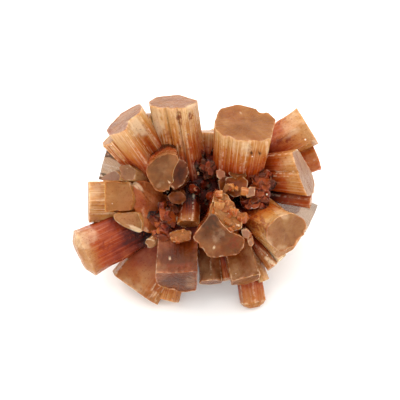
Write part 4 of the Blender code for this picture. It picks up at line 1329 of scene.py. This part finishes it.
# %% Colours of the sides and the end
def side_colour(tree, r):
    """The ramp at 0.8 (age + stripes + clouds + ledges + painted rim glow) - 0.18, and pale lines
    over it, part pale striae and part painted highlight. Also gives that sum, and how far out it
    is from 0 to 1."""
    shift = node(tree, MATH, TIMES, {0: node(tree, MATH, ADD, {0: r.stripes, 1: -0.5}), 1: r.stripe})
    shift = node(tree, MATH, TIMES_ADD, {0: shift, 1: 0.8, 2: r.reach})
    for layer, share in ((r.clouds, 0.45), (r.streak, 0.03), (r.wide, 0.02)):
        shift = node(tree, MATH, TIMES_ADD, {0: layer, 1: share, 2: shift})
    shift = node(tree, MATH, TIMES_ADD, {0: shift, 1: 0.8, 2: -0.18})
    sides = node(tree, RAMP, {"stops": STAIN_SHADE_AND_GLOW_BY_AGE}, {0: shift})
    outer = node(tree, RANGE, None, {0: shift, 1: 0.3, 2: 0.7})
    fine = node(tree, PLACING, None, {0: r.grain, 3: (4.0, 0.09, 3.7)})
    fine = node(tree, NOISE, None, {"Vector": fine, "Scale": 1.0, "Detail": 3.0})
    lines = node(tree, RANGE, None, {0: fine, 1: 0.5, 2: 0.72, 4: 0.9})
    for layer in (r.stripe, outer):
        lines = node(tree, MATH, TIMES, {0: lines, 1: layer})
    sides = node(tree, MIX, COLOURS, {0: lines, 6: sides, 7: linear(SHEEN)}, out=2)
    return sides, shift, outer


def end_colour(tree, r):
    """The ramp at 0.9 mottle + tan + 0.05, then a painted glow towards the rim and the pink over it."""
    tan = node(tree, MATH, TIMES_ADD, {0: r.mottle, 1: 0.9, 2: r.tan})
    tan = node(tree, MATH, ADD, {0: tan, 1: 0.05})
    ends = node(tree, RAMP, {"stops": END_COLOURS}, {0: tan})
    # A painted glow towards the rim.
    rimward = node(tree, MATH, TIMES, {0: r.wide, 1: 0.25})
    for share, tint in ((rimward, RIM_GLOW), (r.pink, PINK_END)):
        ends = node(tree, MIX, COLOURS, {0: share, 6: ends, 7: linear(tint)}, out=2)
    return ends


# %% [markdown]
# Over that come smoke, milky and rusty patches, painted highlights on the rims, and the marks
# that belong to one place, some of them painted light and shade. Noise makes all their borders
# ragged.

# %% Smoke, patches and marks
def clouded(tree, r, colour, outer):
    """Smoke, lighter near the rims as a painted glow, then milky and rusty patches, which are
    fainter on the ends.
    """
    lit = node(tree, MATH, TIMES_ADD, {0: r.wide, 1: 0.16, 2: r.mottle})
    smoky = node(tree, RAMP, {"stops": SMOKE_COLOURS}, {0: lit})
    colour = node(tree, MIX, COLOURS, {0: r.smoke, 6: colour, 7: smoky}, out=2)
    calm = node(tree, MATH, TIMES_ADD, {0: r.end, 1: -0.6, 2: outer})
    for scale, low, most, tint in ((150.0, 0.50, 0.45, MILK), (210.0, 0.52, 0.45, RUST)):
        patch = node(tree, NOISE, None, {"Vector": r.place, "Scale": scale, "Detail": 4.0})
        patch = node(tree, RANGE, None, {0: patch, 1: low, 2: low + 0.16, 4: most})
        patch = node(tree, MATH, TIMES, {0: patch, 1: calm})
        colour = node(tree, MIX, COLOURS, {0: patch, 6: colour, 7: linear(tint)}, out=2)
    return colour


def marked(tree, r, colour):
    """Painted highlights broken along the rims, then stains, pale clouds and dark spots, which
    also paint glints, lit faces and shade where they are put: each shows where half its level
    and a noise together pass a limit."""
    patchy = node(tree, RANGE, None, {0: r.specks, 1: 0.46, 2: 0.60})
    rim = node(tree, MATH, TIMES, {0: r.thin, 1: patchy})
    colour = node(tree, MIX, COLOURS, {0: rim, 6: colour, 7: linear(SHEEN)}, out=2)
    broken = node(tree, RANGE, None, {0: r.specks, 1: 0.3, 2: 0.7})
    tints = ((STAIN_AND_SHADE, broken, 0.6), (CLOUD_AND_HIGHLIGHT, r.mottle, 0.5), (DARK, r.mottle, 0.5))
    for level, (tint, spread, low) in zip(r.marks, tints):
        ragged = node(tree, MATH, TIMES_ADD, {0: level, 1: 0.5, 2: spread})
        share = node(tree, RANGE, None, {0: ragged, 1: low, 2: low + 0.35})
        share = node(tree, MATH, TIMES, {0: share, 1: level})
        colour = node(tree, MIX, COLOURS, {0: share, 6: colour, 7: linear(tint)}, out=2)
    return colour


# %% [markdown]
# Last come specks of iron, most of them in the deep parts, and a rare painted glint. The stone
# is a mass of tiny facets that each lean their own way, which the bump gives from Voronoi cells.

# %% Specks, glints and facets
GRIT_SCALE = 2600.0
GLINT_SCALE = 650.0
GLINT_CHANCE = 0.98
FACET_SCALE = 1100.0
FACET_LEAN = 0.9


def speckled(tree, r, colour, shift):
    """Specks of iron, more of them the deeper, and painted glints in the middle of a few cells."""
    grit = node(tree, NOISE, None, {"Vector": r.place, "Scale": GRIT_SCALE, "Detail": 2.0})
    iron = node(tree, RANGE, None, {0: grit, 1: 0.60, 2: 0.68})
    deep = node(tree, RANGE, None, {0: shift, 1: 1.1, 2: 0.3, 3: 0.1, 4: 0.9})
    iron = node(tree, MATH, TIMES, {0: iron, 1: deep})
    colour = node(tree, MIX, COLOURS, {0: iron, 6: colour, 7: linear(STAIN_AND_SHADE)}, out=2)
    cells = node(tree, CELLS, None, {"Vector": r.place, "Scale": GLINT_SCALE}).node.outputs
    point = node(tree, RANGE, None, {0: cells["Distance"], 1: 0.14, 2: 0.06})
    chance = node(tree, SPLIT, None, {0: cells["Color"]})
    chance = node(tree, MATH, TIMES_ADD, {0: r.wide, 1: 0.16, 2: chance})
    lucky = node(tree, MATH, MORE_THAN, {0: chance, 1: GLINT_CHANCE})
    glint = node(tree, MATH, TIMES, {0: node(tree, MATH, TIMES, {0: point, 1: lucky}), 1: 0.9})
    return node(tree, MIX, COLOURS, {0: glint, 6: colour, 7: linear(GLINT)}, out=2)


def facet_bump(tree, r):
    """Height: 1.2 specks + stripes + lean . (place - middle of its cell), the lean random."""
    cells = node(tree, CELLS, None, {"Vector": r.place, "Scale": FACET_SCALE}).node.outputs
    lean = node(tree, VECTOR, LESS, {0: cells["Color"], 1: (0.5, 0.5, 0.5)})
    scaled = node(tree, VECTOR, SCALED, {0: r.place, "Scale": FACET_SCALE})
    centred = node(tree, VECTOR, SCALED, {0: cells["Position"], "Scale": FACET_SCALE})
    inside = node(tree, VECTOR, LESS, {0: scaled, 1: centred})
    facet = node(tree, VECTOR, DOT, {0: lean, 1: inside}, out="Value")
    height = node(tree, MATH, TIMES_ADD, {0: r.specks, 1: 1.2, 2: r.stripes})
    height = node(tree, MATH, TIMES_ADD, {0: facet, 1: FACET_LEAN, 2: height})
    return node(tree, "ShaderNodeBump", None, {"Strength": 0.5, "Distance": 0.0003, "Height": height})


# %% [markdown]
# Put together, the sides are satin and the ends duller. Light goes about a millimetre into the
# stone, and red light the farthest.

# %% Cloudy aragonite
CLOUDY_LOOK = {
    "IOR": 1.6, "Specular IOR Level": 0.12, "Subsurface Weight": 0.7,
    "Subsurface Radius": (1.0, 0.62, 0.4), "Subsurface Scale": 0.0010}


def cloudy_aragonite():
    """Cloudy iron-stained calcium carbonate, satin on its sides and dull on its ends."""
    material = bpy.data.materials.new("cloudy_iron_stained_aragonite")
    material.use_nodes = True
    tree = material.node_tree
    r = layers_read(tree)
    sides, shift, outer = side_colour(tree, r)
    colour = node(tree, MIX, COLOURS, {0: r.end, 6: sides, 7: end_colour(tree, r)}, out=2)
    colour = marked(tree, r, clouded(tree, r, colour, outer))
    rough = node(tree, MATH, TIMES_ADD, {0: r.specks, 1: 0.3, 2: 0.08})
    rough = node(tree, MATH, TIMES_ADD, {0: r.end, 1: 0.12, 2: rough})
    shader = tree.nodes["Principled BSDF"]
    tree.links.new(speckled(tree, r, colour, shift), shader.inputs["Base Color"])
    tree.links.new(facet_bump(tree, r), shader.inputs["Normal"])
    tree.links.new(rough, shader.inputs["Roughness"])
    for name, value in CLOUDY_LOOK.items():
        shader.inputs[name].default_value = value
    return material


cloudy.data.materials.clear()
cloudy.data.materials.append(cloudy_aragonite())
print(cloudy.data.materials[0].name, "has", len(cloudy.data.materials[0].node_tree.nodes), "nodes")

# %% [markdown]
# The clearer crystals are the same mineral with less iron and fewer flaws. They are see-through
# with a brown tint that deepens with thickness, which is what volume absorption does.

# %% Clear aragonite
CLEAR_LOOK = {
    "Base Color": linear("#f0e0d0"), "Roughness": 0.08, "IOR": 1.6, "Transmission Weight": 0.9}
ABSORBED = {"Color": linear("#b18d56"), "Density": 270.0}
FLAW_SCALE = 500.0


def clear_aragonite():
    """Nearly clear calcium carbonate: plain transmission, IOR and absorption."""
    material = bpy.data.materials.new("clear_brown_aragonite")
    material.use_nodes = True
    tree = material.node_tree
    shader = tree.nodes["Principled BSDF"]
    place = node(tree, "ShaderNodeTexCoord", out="Object")
    flaws = node(tree, NOISE, None, {"Vector": place, "Scale": FLAW_SCALE, "Detail": 2.0})
    bump = node(tree, "ShaderNodeBump", None, {"Strength": 0.02, "Distance": 0.0002, "Height": flaws})
    tree.links.new(bump, shader.inputs["Normal"])
    for name, value in CLEAR_LOOK.items():
        shader.inputs[name].default_value = value
    absorbed = node(tree, "ShaderNodeVolumeAbsorption", None, ABSORBED)
    tree.links.new(absorbed, tree.nodes["Material Output"].inputs["Volume"])
    return material


# %% [markdown]
# The see-through crystals are grown like the others. The first of them takes the place that the
# lump in the middle has in the other piece. Both pieces belong to the one body of the frame.

# %% Clear crystals
FIRST_CLEAR = 800
clear_home = collection("clear_growth")
grown({name: everything[name] for name in everything if name in CLEAR}, FIRST_CLEAR, clear_home)
first = clear_home.objects[0]
clear_home.objects.unlink(first)
bpy.context.scene.collection.objects.link(first)
clear = join("clear_crystals", first, clear_home)
clear.data.materials.clear()
clear.data.materials.append(clear_aragonite())
bpy.data.objects.remove(ground, do_unlink=True)
bpy.data.collections.remove(core_home)

for piece in (cloudy, clear):
    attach(piece, "root")
    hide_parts(NODE)

# %% [markdown]
# ## Floor and light
#
# A plain white table, lit a little from below so that shadows on it stay faint. Soft light
# comes from everywhere. A large soft lamp high on the left gives the light a direction, and a
# small bright one makes the facets glitter.

# %% Table
TABLE_HALF = 3.0
TABLE_LOOK = {
    "Base Color": linear("#f6f5f2"), "Roughness": 0.8, "Emission Color": (1, 1, 1, 1),
    "Emission Strength": 0.1}


def plane(name, half):
    """A square that lies level at height 0."""
    mesh = bpy.data.meshes.new(name)
    corners = [(-half, -half, 0), (half, -half, 0), (half, half, 0), (-half, half, 0)]
    mesh.from_pydata(corners, [], [(0, 1, 2, 3)])
    thing = bpy.data.objects.new(name, mesh)
    bpy.context.scene.collection.objects.link(thing)
    return thing


floor = plane("floor", TABLE_HALF)
paint = bpy.data.materials.new("matt_white_table")
paint.use_nodes = True
for name, value in TABLE_LOOK.items():
    paint.node_tree.nodes["Principled BSDF"].inputs[name].default_value = value
floor.data.materials.append(paint)

# %% Light
LAMPS = {
    "lamp_above": ((-0.25, 0.45, 0.75), 0.6, 2.6),
    "lamp_glitter": ((-0.12, -0.30, 0.85), 0.06, 0.6)}
LAMP_AIM = Vector((0, 0, 0.016))


def softbox(name, place, size, power):
    """A square area lamp that looks at the cluster."""
    lamp = bpy.data.lights.new(name, "AREA")
    lamp.size = size
    lamp.energy = power
    thing = bpy.data.objects.new(name, lamp)
    thing.location = place
    thing.rotation_euler = (LAMP_AIM - thing.location).to_track_quat("-Z", "Y").to_euler()
    bpy.context.scene.collection.objects.link(thing)


for name, (place, size, power) in LAMPS.items():
    softbox(name, Vector(place), size, power)

world = bpy.data.worlds.new("soft_room")
world.use_nodes = True
sky = world.node_tree
background = sky.nodes["Background"]
background.inputs["Color"].default_value = (1, 1, 1, 1)
rise = node(sky, SPLIT, None, {0: node(sky, "ShaderNodeTexCoord", out="Generated")}, out=2)
glow = node(sky, RANGE, {"interpolation_type": "SMOOTHSTEP"}, {0: rise, 1: -0.1, 2: 0.9, 3: 0.9, 4: 2.0})
sky.links.new(glow, background.inputs["Strength"])
bpy.context.scene.world = world
bpy.context.scene.view_settings.view_transform = "Standard"
print(len(LAMPS), "lamps and a soft room")
